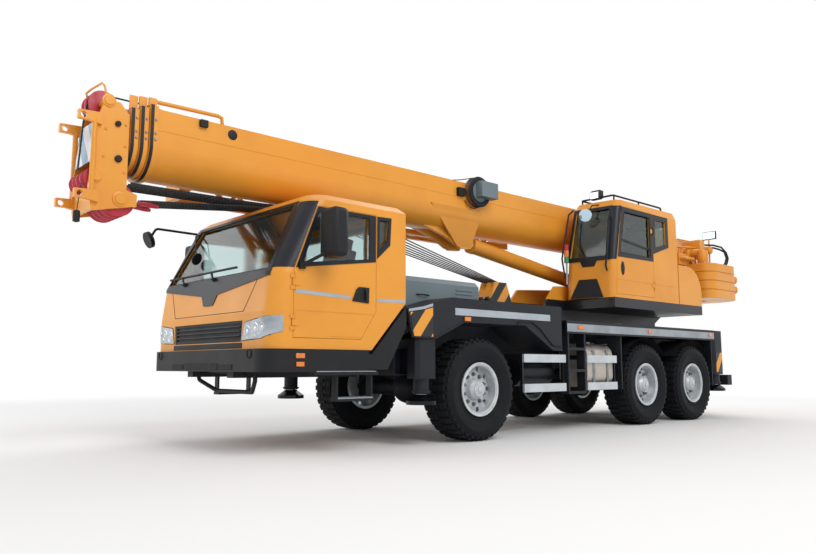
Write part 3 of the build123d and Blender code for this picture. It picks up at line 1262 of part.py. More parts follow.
def luff_barrel():
    length = luff_length() - BARREL_SHORT
    body = rod((0, 0, 0), (length, 0, 0), BARREL_RADIUS)
    body += rod((length - 70, 0, 0), (length, 0, 0), BARREL_RADIUS + 8)
    body += cross_pin(0, 0, FOOT_PIN_RADIUS + 55, (-BARREL_RADIUS, BARREL_RADIUS))
    body -= cross_pin(0, 0, FOOT_PIN_RADIUS + RUN_GAP, (-BARREL_RADIUS - 1, BARREL_RADIUS + 1))
    return luff_frame(body - rod((300, 0, 0), (length + 1, 0, 0), ROD_RADIUS + RUN_GAP))


def luff_rod():
    reach = luff_length()
    body = rod((300 + SLIDE_GAP, 0, 0), (reach, 0, 0), ROD_RADIUS)
    body -= cross_pin(reach, 0, EYE_RADIUS - 5, (-EYE_RADIUS, EYE_RADIUS))
    return luff_frame(body + cross_pin(reach, 0, EYE_RADIUS, (-EYE_HALF_WIDTH, EYE_HALF_WIDTH)))


# Assembly


def outrigger_nodes():
    """Four beams and four jacks; the left and right beams of a box use different lanes."""
    nodes = {}
    places = [
        ("front_left", FRONT_BOX_X, 1, -1, FRONT_HOUSING_HIGH),
        ("front_right", FRONT_BOX_X, -1, 1, FRONT_HOUSING_HIGH),
        ("rear_left", REAR_BOX_X, 1, 1, REAR_HOUSING_HIGH),
        ("rear_right", REAR_BOX_X, -1, -1, REAR_HOUSING_HIGH),
    ]
    for name, box_x, side, lane, high in places:
        nodes[f"outrigger_beam_{name}"] = outrigger_beam(box_x, side, lane, high)
        nodes[f"outrigger_jack_{name}"] = jack(box_x, side, lane)
    return nodes


def wheel_nodes():
    nodes = {}
    places = {"front": 0, "middle": REAR_AXLES[0], "rear": REAR_AXLES[1]}
    for row, station in places.items():
        for name, side in (("left", 1), ("right", -1)):
            nodes[f"tyre_{row}_{name}"] = at_wheel(tyre(), station, side)
            nodes[f"wheel_{row}_{name}"] = at_wheel(wheel(), station, side)
    return nodes


def chassis_nodes():
    walls = cab_walls()
    skin = cab_form(GLASS_INSET) - cab_form(GLASS_INSET + GLASS_THICK)
    door = cab_door(walls)
    pane = door_glass(skin)
    nodes = {
        "frame": frame(),
        "axles": [front_axle(), rear_axles()],
        "knuckle_left": knuckle(),
        "knuckle_right": mirror(knuckle(), about=Plane.XZ),
        "outrigger_boxes": [outrigger_box(FRONT_BOX_X), outrigger_box(REAR_BOX_X)],
        "cab_shell": cab_shell(walls),
        "cab_glass": cab_glass(skin),
        "cab_interior": cab_interior(),
        "cab_door_left": door,
        "cab_door_right": mirror(door, about=Plane.XZ),
        "door_glass_left": pane,
        "door_glass_right": mirror(pane, about=Plane.XZ),
        "door_mirror_left": door_mirror(),
        "door_mirror_right": mirror(door_mirror(), about=Plane.XZ),
        "bumper_and_steps": [bumper(), hook_eye(), front_mirror()],
        "grille": grille(),
        "lamps": lamps(),
        "engine": engine(),
        "engine_hood": engine_hood(),
        "fenders_and_decks": both_sides(front_fender()) + both_sides(rear_deck()),
        "tanks": tanks(),
        "side_guards": side_guards(),
        "hook_block": hook_block(),
    }
    return nodes


def upper_nodes():
    walls = operator_form(0) - operator_form(OPERATOR_WALL)
    skin = operator_form(GLASS_INSET) - operator_form(GLASS_INSET + GLASS_THICK)
    glass = [part for opening in operator_openings(RUN_GAP) for part in (skin & opening).solids()]
    last_section = boom_tube(3, SECTION_TAIL + 2 * SECTION_TAIL_STEP, section_front(3))
    return {
        "turntable": turntable() + [left_cover(), right_cover()],
        "counterweight": counterweight(),
        "winches": winches(),
        "operator_cab": operator_cab(walls),
        "operator_glass": glass,
        "operator_door": operator_door(walls),
        "operator_door_glass": skin & operator_door_pane(RUN_GAP),
        "operator_seat": operator_seat(),
        "operator_roof_rail": operator_rail(),
        "boom_base": boom_base(),
        "boom_section_2": boom_section(1),
        "boom_section_3": boom_section(2),
        "boom_section_4": last_section + boom_head(),
        "boom_sheaves": sheaves(),
        "jib": jib(),
        "luff_barrel": luff_barrel(),
        "luff_rod": luff_rod(),
    }


def all_nodes():
    """Every named piece at its place, with the origin in the middle of the footprint."""
    nodes = {**chassis_nodes(), **wheel_nodes(), **outrigger_nodes(), **upper_nodes()}
    shift = Pos(-(NOSE + TAIL) / 2, 0, 0)
    placed = {}
    for name, shape in nodes.items():
        pieces = shape if isinstance(shape, list) else [shape]
        solids = [shift * solid for piece in pieces for solid in piece.solids()]
        placed[name] = Compound(solids)
    return placed


def main():
    os.makedirs("parts", exist_ok=True)
    for name, shape in all_nodes().items():
        export_step(shape, f"parts/{name}.step")


if __name__ == "__main__":
    main()
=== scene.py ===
"""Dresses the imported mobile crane: finishes for its solids, then tyres, trim, ropes and a plain stage."""
import math

import bmesh
import bpy
from mathutils import Matrix, Vector


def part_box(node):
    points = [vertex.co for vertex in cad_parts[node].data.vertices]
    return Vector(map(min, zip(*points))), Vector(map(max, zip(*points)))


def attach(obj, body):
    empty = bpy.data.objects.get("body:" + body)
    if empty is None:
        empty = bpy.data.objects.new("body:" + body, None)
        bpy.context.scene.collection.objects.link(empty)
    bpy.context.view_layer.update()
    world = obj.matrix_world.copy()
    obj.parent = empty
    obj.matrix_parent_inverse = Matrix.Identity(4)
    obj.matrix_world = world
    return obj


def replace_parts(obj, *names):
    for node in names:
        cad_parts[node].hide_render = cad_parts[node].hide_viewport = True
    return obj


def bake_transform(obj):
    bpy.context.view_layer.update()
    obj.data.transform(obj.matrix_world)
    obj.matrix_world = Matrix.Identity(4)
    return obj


bl_info = {
    "name": "Mobile crane dressing",
    "version": (1, 0, 0),
    "blender": (4, 5, 0),
    "location": "View3D > Sidebar > Crane",
    "description": "Finishes, tyres, trim and ropes for a three-axle mobile crane",
    "category": "Object",
}

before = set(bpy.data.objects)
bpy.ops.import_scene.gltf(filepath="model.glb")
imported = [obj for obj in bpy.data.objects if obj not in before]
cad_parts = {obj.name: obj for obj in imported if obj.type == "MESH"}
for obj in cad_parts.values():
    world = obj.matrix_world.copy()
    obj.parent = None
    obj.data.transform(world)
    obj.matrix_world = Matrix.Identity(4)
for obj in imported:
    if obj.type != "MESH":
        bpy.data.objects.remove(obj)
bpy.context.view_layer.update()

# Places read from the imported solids, in metres
WHEEL_NAMES = [f"{row}_{side}" for row in ("front", "middle", "rear") for side in ("left", "right")]
CORNER_NAMES = [f"{end}_{side}" for end in ("front", "rear") for side in ("left", "right")]
TYRE_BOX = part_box("tyre_front_left")
AXLE_X = (TYRE_BOX[0].x + TYRE_BOX[1].x) / 2
TYRE_RADIUS = (TYRE_BOX[1].z - TYRE_BOX[0].z) / 2
TYRE_HALF_WIDTH = (TYRE_BOX[1].y - TYRE_BOX[0].y) / 2
SKIRT_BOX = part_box("fenders_and_decks")
WEIGHT_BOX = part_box("counterweight")
SKIRT_SIDE = SKIRT_BOX[1].y
# Distances of both cabs' side walls from the middle plane, in metres
CAB_SIDE = 1.24
OPERATOR_SIDE = 1.22
SIDES = (("left", 1), ("right", -1))


def linear(hex_colour):
    """An sRGB hex colour as linear red, green, blue and alpha."""
    channels = [int(hex_colour[start:start + 2], 16) / 255 for start in (1, 3, 5)]
    return [c / 12.92 if c <= 0.04045 else ((c + 0.055) / 1.055) ** 2.4 for c in channels] + [1.0]


def colour_property(name, description, hex_colour):
    """A colour that a user can pick."""
    return bpy.props.FloatVectorProperty(name=name, description=description, subtype="COLOR", size=4,
                                         min=0.0, max=1.0, default=linear(hex_colour))


def length_property(name, description, metres):
    """A length that a user can set, in metres."""
    return bpy.props.FloatProperty(name=name, description=description, unit="LENGTH", min=0.0,
            default=metres)


class CraneColours(bpy.types.PropertyGroup):
    """Colours that a user would change."""
    body: colour_property("Body", "Enamel of the cabs, boom and upper works", "#E59A33")
    chassis: colour_property("Chassis", "Enamel of the frame, fenders and outriggers", "#15181F")
    hood: colour_property("Hood", "Enamel of the engine hood", "#66757B")
    sheave: colour_property("Sheaves", "Enamel of the rope sheaves", "#B01E34")
    stripe: colour_property("Stripes", "Reflective strips along the sides", "#A9B2BA")


class CraneSizes(bpy.types.PropertyGroup):
    """Sizes that a user would change."""
    rope: length_property("Rope", "Radius of a hoist rope", 0.0085)
    seal: length_property("Seal", "Thickness of a window surround", 0.006)
    lug_height: length_property("Tread", "Depth of the tread between its lugs", 0.016)
    lugs: bpy.props.IntProperty(name="Lugs", description="Shoulder lugs round each side of a tyre", min=8,
            default=38)
    nuts: bpy.props.IntProperty(name="Wheel nuts", description="Nuts on each wheel", min=4, default=10)


def colours():
    """The colours set for the scene."""
    return bpy.context.scene.crane_colours


def sizes():
    """The sizes set for the scene."""
    return bpy.context.scene.crane_sizes


# Finishes


def add_node(tree, kind, settings=None, links=None):
    """Adds a node, sets its options and sockets, and links its inputs."""
    node = tree.nodes.new(kind)
    for key, value in (settings or {}).items():
        if isinstance(key, str) and hasattr(node, key):
            setattr(node, key, value)
        else:
            node.inputs[key].default_value = value
    for key, source in (links or {}).items():
        tree.links.new(source, node.inputs[key])
    return node


def new_tree(owner):
    """The emptied node tree of a material or world."""
    owner.use_nodes = True
    owner.node_tree.nodes.clear()
    return owner.node_tree


def shade(tone):
    """A tone, given as an sRGB hex colour or as a colour property."""
    return linear(tone) if isinstance(tone, str) else list(tone)


def surface(name, tone, worn, patch_mm, grain_mm, relief, gloss, split=None, **sockets):
    """A finish: patches of a second tone, a fine relief and an uneven gloss. A split gives another tone
    between two places along an axis, in metres."""
    material = bpy.data.materials.new(name)
    tree = new_tree(material)
    place = add_node(tree, "ShaderNodeTexCoord").outputs["Object"]
    patches = add_node(tree, "ShaderNodeTexNoise", {"Scale": 1000 / patch_mm, "Detail": 6.0},
                       {"Vector": place})
    cover = add_node(tree, "ShaderNodeMapRange", {1: 0.42, 2: 0.72, 3: 0.0, 4: 1.0},
                     {0: patches.outputs[0]})
    tones = {"data_type": "RGBA", 6: shade(tone), 7: shade(worn)}
    paint = add_node(tree, "ShaderNodeMix", tones, {0: cover.outputs[0]}).outputs[2]
    if split:
        axis, low, high, other = split
        along = add_node(tree, "ShaderNodeSeparateXYZ", links={0: place}).outputs[axis]
        settings = {"operation": "COMPARE", 1: (low + high) / 2, 2: (high - low) / 2}
        within = add_node(tree, "ShaderNodeMath", settings, {0: along}).outputs[0]
        tones = {"data_type": "RGBA", 7: shade(other)}
        paint = add_node(tree, "ShaderNodeMix", tones, {0: within, 6: paint}).outputs[2]
    grain = add_node(tree, "ShaderNodeTexNoise", {"Scale": 1000 / grain_mm, "Detail": 3.0},
                     {"Vector": place})
    depth = {"Strength": relief, "Distance": grain_mm / 1000}
    bump = add_node(tree, "ShaderNodeBump", depth, {"Height": grain.outputs[0]})
    spread = {1: 0.3, 2: 0.7, 3: gloss[0], 4: gloss[1]}
    rough = add_node(tree, "ShaderNodeMapRange", spread, {0: patches.outputs[0]})
    links = {"Base Color": paint, "Roughness": rough.outputs[0], "Normal": bump.outputs[0]}
    shader = add_node(tree, "ShaderNodeBsdfPrincipled", sockets, links)
    add_node(tree, "ShaderNodeOutputMaterial", links={0: shader.outputs[0]})
    return material


def striped(name, first, second, pitch_mm, direction, gloss, **sockets):
    """A finish of two tones in straight bands, one pitch for each pair of bands."""
    material = bpy.data.materials.new(name)
    tree = new_tree(material)
    place = add_node(tree, "ShaderNodeTexCoord").outputs["Object"]
    across = {"operation": "DOT_PRODUCT", 1: Vector(direction).normalized()}
    along = add_node(tree, "ShaderNodeVectorMath", across, {0: place}).outputs["Value"]
    count = add_node(tree, "ShaderNodeMath", {"operation": "MULTIPLY", 1: 1000 / pitch_mm}, {0: along})
    band = add_node(tree, "ShaderNodeMath", {"operation": "FRACT"}, {0: count.outputs[0]})
    edge = add_node(tree, "ShaderNodeMath", {"operation": "GREATER_THAN", 1: 0.5}, {0: band.outputs[0]})
    tones = {"data_type": "RGBA", 6: shade(first), 7: shade(second)}
    paint = add_node(tree, "ShaderNodeMix", tones, {0: edge.outputs[0]})
    grime = add_node(tree, "ShaderNodeTexNoise", {"Scale": 1000 / (3 * pitch_mm), "Detail": 5.0},
                     {"Vector": place})
    rough = add_node(tree, "ShaderNodeMapRange", {3: gloss[0], 4: gloss[1]}, {0: grime.outputs[0]})
    links = {"Base Color": paint.outputs[2], "Roughness": rough.outputs[0]}
    shader = add_node(tree, "ShaderNodeBsdfPrincipled", sockets, links)
    add_node(tree, "ShaderNodeOutputMaterial", links={0: shader.outputs[0]})
    return material


def all_finishes():
    """Every finish of the crane, each from what the real surface is."""
    body = colours().body
    faded = "#DC9030"
    chassis = colours().chassis
    coat = {"Specular IOR Level": 0.4, "Coat Weight": 0.08}
    dull = {"Specular IOR Level": 0.3}
    lens = {"Coat Weight": 0.6}
    cover = {"Coat Weight": 1.0}
    clear = {"IOR": 1.5, "Transmission Weight": 1.0}
    made = [
        # Two-pack enamel sprayed on steel: full colour, soft gloss, orange peel (1.5 mm, drawn coarser)
        surface("sprayed_orange_enamel", body, faded, 700, 6, 0.05, (0.32, 0.44), **coat),
        # The same enamel on the turntable, whose skirt and ring below the deck are chassis colour
        surface("sprayed_turntable_enamel", body, faded, 700, 6, 0.05, (0.34, 0.46),
                (2, 0.0, 1.802, chassis), **coat),
        # Chassis enamel on rolled plate: dark, half gloss, with a thin film of road dust
        surface("chassis_enamel", chassis, "#22242A", 380, 5, 0.08, (0.42, 0.58), **dull),
        # Satin enamel on folded sheet: even grey with a soft sheen
        surface("satin_hood_enamel", colours().hood, "#6E7D83", 500, 5, 0.05, (0.42, 0.55)),
        # Gloss enamel on cast sheaves: deep red, paler in patches
        surface("red_sheave_enamel", colours().sheave, "#C2384A", 120, 4, 0.06, (0.3, 0.45)),
        # Moulded tyre rubber: near black, matt, with a fine mould grain
        surface("moulded_tyre_rubber", "#090B0F", "#12151A", 160, 3, 0.25, (0.72, 0.88), **dull),
        # Silver wheel enamel on pressed steel: pale, slightly metallic, dusty in patches
        surface("silver_wheel_enamel", "#CDD1D5", "#AFB4B8", 140, 3, 0.06, (0.34, 0.48), Metallic=0.25),
        # Moulded polypropylene: black with a leathery grain (1 mm, drawn coarser)
        surface("grained_black_plastic", "#131417", "#1C1D20", 300, 4, 0.18, (0.48, 0.62), **dull),
        # Painted window surround: smooth blue-black
        surface("dark_window_surround", "#171B23", "#1D2129", 400, 5, 0.04, (0.3, 0.4), **dull),
        # Extruded aluminium, anodised: satin grey with a fine grain
        surface("anodised_aluminium", "#9CA3A9", "#8B9298", 200, 2, 0.06, (0.34, 0.46), Metallic=0.4),
        # The same on the guard rails, whose posts stand inboard and are chassis colour
        surface("anodised_guard_rails", "#CBD1D6", "#BAC1C7", 200, 2, 0.06, (0.34, 0.46),
                (1, -1.1805, 1.1805, chassis), Metallic=0.3),
        # Rolled aluminium sheet of a tank: bright, its warm beige tone a painted reflection, with darker
        # patches; the front pair in chassis colour
        surface("rolled_aluminium", "#B9B0A6", "#8F8A84", 260, 3, 0.05, (0.28, 0.42),
                (0, AXLE_X - 1.6, AXLE_X - 0.8, chassis), Metallic=0.5),
        # Ground steel: mid grey, bare
        surface("ground_steel", "#8A8D90", "#6F7275", 90, 2, 0.08, (0.32, 0.48), Metallic=0.9),
        # Hard chrome on a ground rod: mirror bright
        surface("hard_chrome", "#D5D8DA", "#C8CBCE", 300, 2, 0.01, (0.06, 0.12), Metallic=1.0),
        # Chrome rod with a cast float at its foot, which is dark enamel
        surface("jack_rod_chrome", "#D0D3D5", "#BFC2C5", 300, 2, 0.02, (0.12, 0.3),
                (2, -0.1, 0.536, chassis), Metallic=0.6),
        # Woven seat cloth: dark, matt, its weave drawn as a 3 mm grain
        surface("woven_seat_cloth", "#25272B", "#33363B", 60, 3, 0.6, (0.85, 0.95)),
        # Moulded cab lining: pale grey foam-backed vinyl with a fine grain
        surface("grey_vinyl_lining", "#8C9093", "#7F8386", 400, 4, 0.15, (0.6, 0.75)),
        # Retro-reflective sheeting: grey-white, even
        surface("reflective_sheeting", colours().stripe, "#98A2AB", 300, 4, 0.03, (0.35, 0.5)),
        # Coated fabric hose: black, matt
        surface("rubber_hose", "#101113", "#1A1B1E", 80, 3, 0.2, (0.6, 0.75), **dull),
        # Moulded acrylic lenses, coloured through
        *(surface(f"{name}_acrylic", tone, worn, 60, 6, 0.1, (0.12, 0.2), **lens) for name, tone, worn in
          (("amber", "#E8801C", "#D87012"), ("red", "#B8161C", "#A21218"),
           ("green", "#1F8A4C", "#1A7A42"))),
        # Metallised lamp housing under a clear polycarbonate cover: broad pale and grey patches, hard gloss
        surface("covered_lamp_housing", "#B4BCC2", "#7D868E", 240, 60, 0.08, (0.16, 0.26), Metallic=0.5,
                **cover),
        # Vacuum-metallised lamp bowl: bright, smooth
        surface("metallised_lamp_bowl", "#DADFE2", "#C4CACF", 60, 12, 0.05, (0.08, 0.16), Metallic=0.8,
                **cover),
        # Tinted laminated glass: clear, faint green-blue
        surface("tinted_glass", "#DCEBEA", "#D6E6E6", 600, 8, 0.01, (0.02, 0.04), **clear),
        # Deep-tinted glass of the operator's cab: sea green
        surface("sea_green_glass", "#A6C4C1", "#A0BEBB", 600, 8, 0.01, (0.02, 0.04), **clear),
        # Silvered mirror glass with a blue anti-glare tint
        surface("silvered_mirror", "#BCD3DE", "#B4CCD8", 500, 8, 0.0, (0.02, 0.04), Metallic=1.0),
        # Hazard sheeting, and the same in blue and white: diagonal bands 120 mm wide
        striped("hazard_sheeting", body, "#131417", 240, (1.0, 0.0, 0.8), (0.35, 0.5)),
        striped("blue_white_sheeting", "#D3D9DD", "#7F9DB2", 240, (0.0, 1.0, 0.9), (0.35, 0.5)),
        # Laid wire rope: greased steel, the strands' lay drawn as slanting bands 24 mm apart
        striped("laid_wire_rope", "#3B3D40", "#1E2022", 24, (1.0, 0.6, 0.8), (0.35, 0.5), Metallic=0.6),
    ]
    return {material.name: material for material in made}


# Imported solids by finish, each name standing for every solid that starts with it
NODE_FINISHES = {
    "chassis_enamel": "frame axles outrigger_boxes fenders_and_decks knuckle outrigger_beam",
    "tinted_glass": "cab_glass door_glass", "sea_green_glass": "operator_glass operator_door_glass",
    "grained_black_plastic": "bumper_and_steps grille operator_roof_rail door_mirror",
    "woven_seat_cloth": "cab_interior operator_seat", "covered_lamp_housing": "lamps",
    "ground_steel": "engine", "satin_hood_enamel": "engine_hood", "rolled_aluminium": "tanks",
    "anodised_guard_rails": "side_guards", "hazard_sheeting": "hook_block", "hard_chrome": "luff_rod",
    "sprayed_turntable_enamel": "turntable", "red_sheave_enamel": "boom_sheaves",
    "moulded_tyre_rubber": "tyre", "silver_wheel_enamel": "wheel", "jack_rod_chrome": "outrigger_jack",
}


def node_finish(node):
    """The finish whose name for a solid fits the longest part of it, or else the body enamel."""
    fits = [(len(start), finish) for finish, starts in NODE_FINISHES.items()
            for start in starts.split() if node.startswith(start)]
    return max(fits)[1] if fits else "sprayed_orange_enamel"


# Forms

# Radius and height of a hexagon bolt's head
BOLT = (0.012, 0.012)


def at(x, y, z):
    """A point from a station counted forward from the front axle."""
    return Vector((AXLE_X + x, y, z))


def side_points(outline, y, side=1):
    """Points on a wall at a distance from the middle plane, from (station, height) pairs."""
    return [at(x, side * y, z) for x, z in outline]


def round_angles(count, shift=0.0):
    """Angles spaced evenly round a circle."""
    return [2 * math.pi * (step + shift) / count for step in range(count)]


def prism(bm, loop, run):
    """A closed loop of points carried along a vector."""
    first = [bm.verts.new(point) for point in loop]
    second = [bm.verts.new(Vector(point) + Vector(run)) for point in loop]
    bm.faces.new(first)
    bm.faces.new(second[::-1])
    for index in range(len(loop)):
        after = (index + 1) % len(loop)
        bm.faces.new((first[index], second[index], second[after], first[after]))


def block(bm, low, high):
    """A box between two corners."""
    a, b = Vector(low), Vector(high)
    prism(bm, [(a.x, a.y, a.z), (b.x, a.y, a.z), (b.x, b.y, a.z), (a.x, b.y, a.z)], (0, 0, b.z - a.z))


def surround(bm, outer, inner, run):
    """A flat frame between two loops with the same number of points."""
    rows = []
    for loop in (outer, inner):
        rows.append([bm.verts.new(point) for point in loop])
        rows.append([bm.verts.new(Vector(point) + Vector(run)) for point in loop])
    count = len(outer)
    for index in range(count):
        after = (index + 1) % count
        for near, far in ((0, 1), (1, 3), (3, 2), (2, 0)):
            bm.faces.new((rows[near][index], rows[far][index], rows[far][after], rows[near][after]))


def sheet(bm, rows):
    """A surface through rows of points."""
    grid = [[bm.verts.new(point) for point in row] for row in rows]
    for upper, lower in zip(grid, grid[1:]):
        for index in range(len(upper) - 1):
            bm.faces.new((upper[index], upper[index + 1], lower[index + 1], lower[index]))


def turned(bm, profile, centre, axis, steps):
    """A form turned about an axis, from (radius, along) points; radius 0 closes an end."""
    along = Vector(axis).normalized()
    across = along.orthogonal().normalized()
    third = along.cross(across)
    rings = []
    for radius, reach in profile:
        middle = Vector(centre) + along * reach
        if radius == 0:
            rings.append([bm.verts.new(middle)] * steps)
        else:
            spokes = [across * math.cos(a) + third * math.sin(a) for a in round_angles(steps)]
            rings.append([bm.verts.new(middle + spoke * radius) for spoke in spokes])
    for first, second in zip(rings, rings[1:]):
        for step in range(steps):
            after = (step + 1) % steps
            corners = [first[step], first[after], second[after], second[step]]
            loop = list(dict.fromkeys(corners))
            if len(loop) > 2:
                bm.faces.new(loop)


def scaled(profile, radius):
    """A profile whose radii were given as shares of a radius."""
    return [(radius * share, along) for share, along in profile]


def stud(radius, edge, top, height):
    """The profile of a round stud, narrower at its top than up to its edge."""
    return [(0, 0), (radius, 0), (radius, edge), (top, height), (0, height)]


def nut(bm, centre, axis, radius, height):
    """A hexagon nut with a rounded end, standing on a face."""
    turned(bm, stud(radius, height * 0.75, radius * 0.8, height), centre, axis, 6)


def scene_object(name, data):
    """A new object in the scene from its mesh, curve, light or camera."""
    made = bpy.data.objects.new(name, data)
    bpy.context.scene.collection.objects.link(made)
    return made


def form(name, finish, bm, angle=35.0):
    """Turns a bmesh into a mesh object with a finish."""
    bmesh.ops.recalc_face_normals(bm, faces=bm.faces)
    mesh = bpy.data.meshes.new(name)
    bm.to_mesh(mesh)
    bm.free()
    mesh.materials.append(bpy.data.materials[finish])
    mesh.shade_smooth()
    mesh.set_sharp_from_angle(angle=math.radians(angle))
    return scene_object(name, mesh)


def piece(name, body, finish, bm, bevel=0.0, angle=35.0):
    """A form that rides on a body, its edges softened by a bevel."""
    made = form(name, finish, bm, angle)
    if bevel:
        soften = made.modifiers.new("soft_edges", "BEVEL")
        soften.width = bevel
        soften.segments = 2
        soften.limit_method = "ANGLE"
    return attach(made, body)


def tube(name, body, finish, paths, radius, closed=False):
    """Round bars, pipes or ropes along runs of points, as one piece."""
    curve = bpy.data.curves.new(name, "CURVE")
    curve.dimensions = "3D"
    curve.bevel_depth = radius
    curve.bevel_resolution = 3
    curve.use_fill_caps = True
    for path in paths:
        spline = curve.splines.new("POLY")
        spline.points.add(len(path) - 1)
        for point, place in zip(spline.points, path):
            point.co = (*place, 1.0)
        spline.use_cyclic_u = closed
        spline.use_smooth = True
    curve.materials.append(bpy.data.materials[finish])
    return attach(scene_object(name, curve), body)


def bowed(start, end, sag, steps=14):
    """Points of a hose or bar that bows from one end to the other by a vector at its middle."""
    a, b, bow = Vector(start), Vector(end), Vector(sag)
    return [a.lerp(b, t / steps) + bow * 4 * (t / steps) * (1 - t / steps) for t in range(steps + 1)]


def wall_plates(name, body, finish, outlines, wall, side, thick, bevel=0.0):
    """Flat plates on a side wall from (station, height) outlines."""
    bm = bmesh.new()
    for outline in outlines:
        prism(bm, side_points(outline, wall, side), (0, side * thick, 0))
    return piece(name, body, finish, bm, bevel)


def block_piece(name, body, finish, low, high, bevel):
    """One box as a piece."""
    bm = bmesh.new()
    block(bm, low, high)
    return piece(name, body, finish, bm, bevel)


def prism_piece(name, body, finish, loop, run, bevel=0.0):
    """One prism as a piece."""
    bm = bmesh.new()
    prism(bm, loop, run)
    return piece(name, body, finish, bm, bevel)


def turned_piece(name, body, finish, profile, centre, axis, steps, bevel=0.0):
    """One turned form as a piece."""
    bm = bmesh.new()
    turned(bm, profile, centre, axis, steps)
    return piece(name, body, finish, bm, bevel)


def dark_sheet(name, body, rows):
    """A dark sheet through rows of points, as one piece."""
    bm = bmesh.new()
    sheet(bm, rows)
    return piece(name, body, "dark_window_surround", bm)


def window_frame(name, body, outer, glass, run):
    """The dark frame between a window's outer loop and its glass, as one piece."""
    bm = bmesh.new()
    surround(bm, outer, glass, run)
    return piece(name, body, "dark_window_surround", bm, 0.002)


def rectangle(x0, x1, z0, z1):
    """Corners of an upright rectangle, as (along, height) pairs."""
    return [(x0, z0), (x1, z0), (x1, z1), (x0, z1)]


def cushion(name, body, node, middle, half, lean, channels):
    """A crowned pad with sides pulled in between its corners and sewn channels along it. Its back is flat;
    lean turns it about the y axis in degrees, 0 lying flat."""
    bm = bmesh.new()
    bmesh.ops.create_cube(bm, size=2.0)
    bmesh.ops.subdivide_edges(bm, edges=bm.edges, cuts=15, use_grid_fill=True)
    turn = Matrix.Rotation(math.radians(lean), 3, "Y")
    seam_depth, seam_width = 0.016, 0.012
    for vert in bm.verts:
        u, v, w = vert.co
        long = u * half[0] * (1 - 0.05 * (1 - v * v) * abs(u))
        wide = v * half[1] * (1 - 0.06 * (1 - u * u) * abs(v))
        thick = w * half[2]
        if w > 0:
            thick += half[2] * w * (0.45 * (1 - u ** 4) * (1 - v ** 4) - 0.25 * max(abs(u), abs(v)) ** 10)
            for channel in channels:
                thick -= seam_depth * w * math.exp(-((v * half[1] - channel) / seam_width) ** 2)
        vert.co = Vector(middle) + turn @ Vector((long, wide, thick))
    made = piece(name, body, "woven_seat_cloth", bm, angle=80.0)
    made.modifiers.new("soft_form", "SUBSURF").levels = 1
    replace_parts(made, node)


# Finishes and a body named often below
ORANGE, PLASTIC, DARK = "sprayed_orange_enamel", "grained_black_plastic", "dark_window_surround"
HOSE, ROPE, STRIP = "rubber_hose", "laid_wire_rope", "reflective_sheeting"
AMBER, MIRROR, LINING = "amber_acrylic", "silvered_mirror", "grey_vinyl_lining"
BLACK, HAZARD = "chassis_enamel", "hazard_sheeting"
UPPER = "upper_works"

# Driver's cab

# Height and station of the front face at its cowl, eaves and belt, and the radius of its corners
COWL = (1.69, 2.7)
EAVES = (2.42, 2.335)
BELT = (1.33, 2.75)
CORNER = 0.19


def cab_front(z):
    """Station of the cab's front face at a height."""
    low, high = (BELT, COWL) if z < COWL[0] else (COWL, EAVES)
    share = (z - low[0]) / (high[0] - low[0])
    return low[1] + share * (high[1] - low[1]) if z > BELT[0] else BELT[1]


def front_points(outline, proud=0.002):
    """Points on the cab's front face from (y, height) pairs, carried round its corners."""
    placed = []
    for y, z in outline:
        over = max(abs(y) - (CAB_SIDE - CORNER), 0.0)
        drop = CORNER - math.sqrt(max(CORNER * CORNER - over * over, 0.0))
        placed.append(at(cab_front(z) - drop + proud, y, z))
    return placed


# Side windows as (station, height) pairs; windshield and cowl as (y, height) pairs
DOOR_GLASS = [(2.425, 1.785), (2.25, 2.3), (1.64, 2.308), (1.64, 1.885)]
DOOR_SURROUND = [(2.5, 1.735), (2.262, 2.34), (1.556, 2.34), (1.556, 1.87)]
QUARTER_GLASS = [(1.512, 2.308), (1.384, 2.312), (1.402, 2.104), (1.512, 1.995)]
QUARTER_SURROUND = [(1.538, 2.34), (1.35, 2.346), (1.366, 2.06), (1.538, 1.905)]
WINDSHIELD = [(-1.062, 1.728), (1.062, 1.728), (0.978, 2.378), (-0.978, 2.378)]
WINDSHIELD_SURROUND = [(-1.12, 1.69), (1.12, 1.69), (1.035, 2.412), (-1.035, 2.412)]
COWL_EDGE = [(0.0, 1.436), (0.1, 1.44), (0.17, 1.545), (1.12, 1.66)]


class CRANE_OT_finishes(bpy.types.Operator):
    """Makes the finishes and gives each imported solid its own"""
    bl_idname = "crane.finishes"
    bl_label = "Finishes"

    def execute(self, context):
        made = all_finishes()
        for name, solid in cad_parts.items():
            solid.data.materials.clear()
            solid.data.materials.append(made[node_finish(name)])
        return {"FINISHED"}


def tread_lug(bm, centre, outline, low, high):
    """One lug of a tyre's tread, from (angle, y) corners between two radii."""
    loops = []
    for radius in (low, high):
        drawn = outline if radius == low else [(a, y * 0.985) for a, y in outline]
        loops.append([bm.verts.new(centre + Vector((math.cos(a) * radius, y, math.sin(a) * radius)))
                      for a, y in drawn])
    bm.faces.new(loops[1])
    count = len(outline)
    for index in range(count):
        after = (index + 1) % count
        bm.faces.new((loops[0][index], loops[0][after], loops[1][after], loops[1][index]))


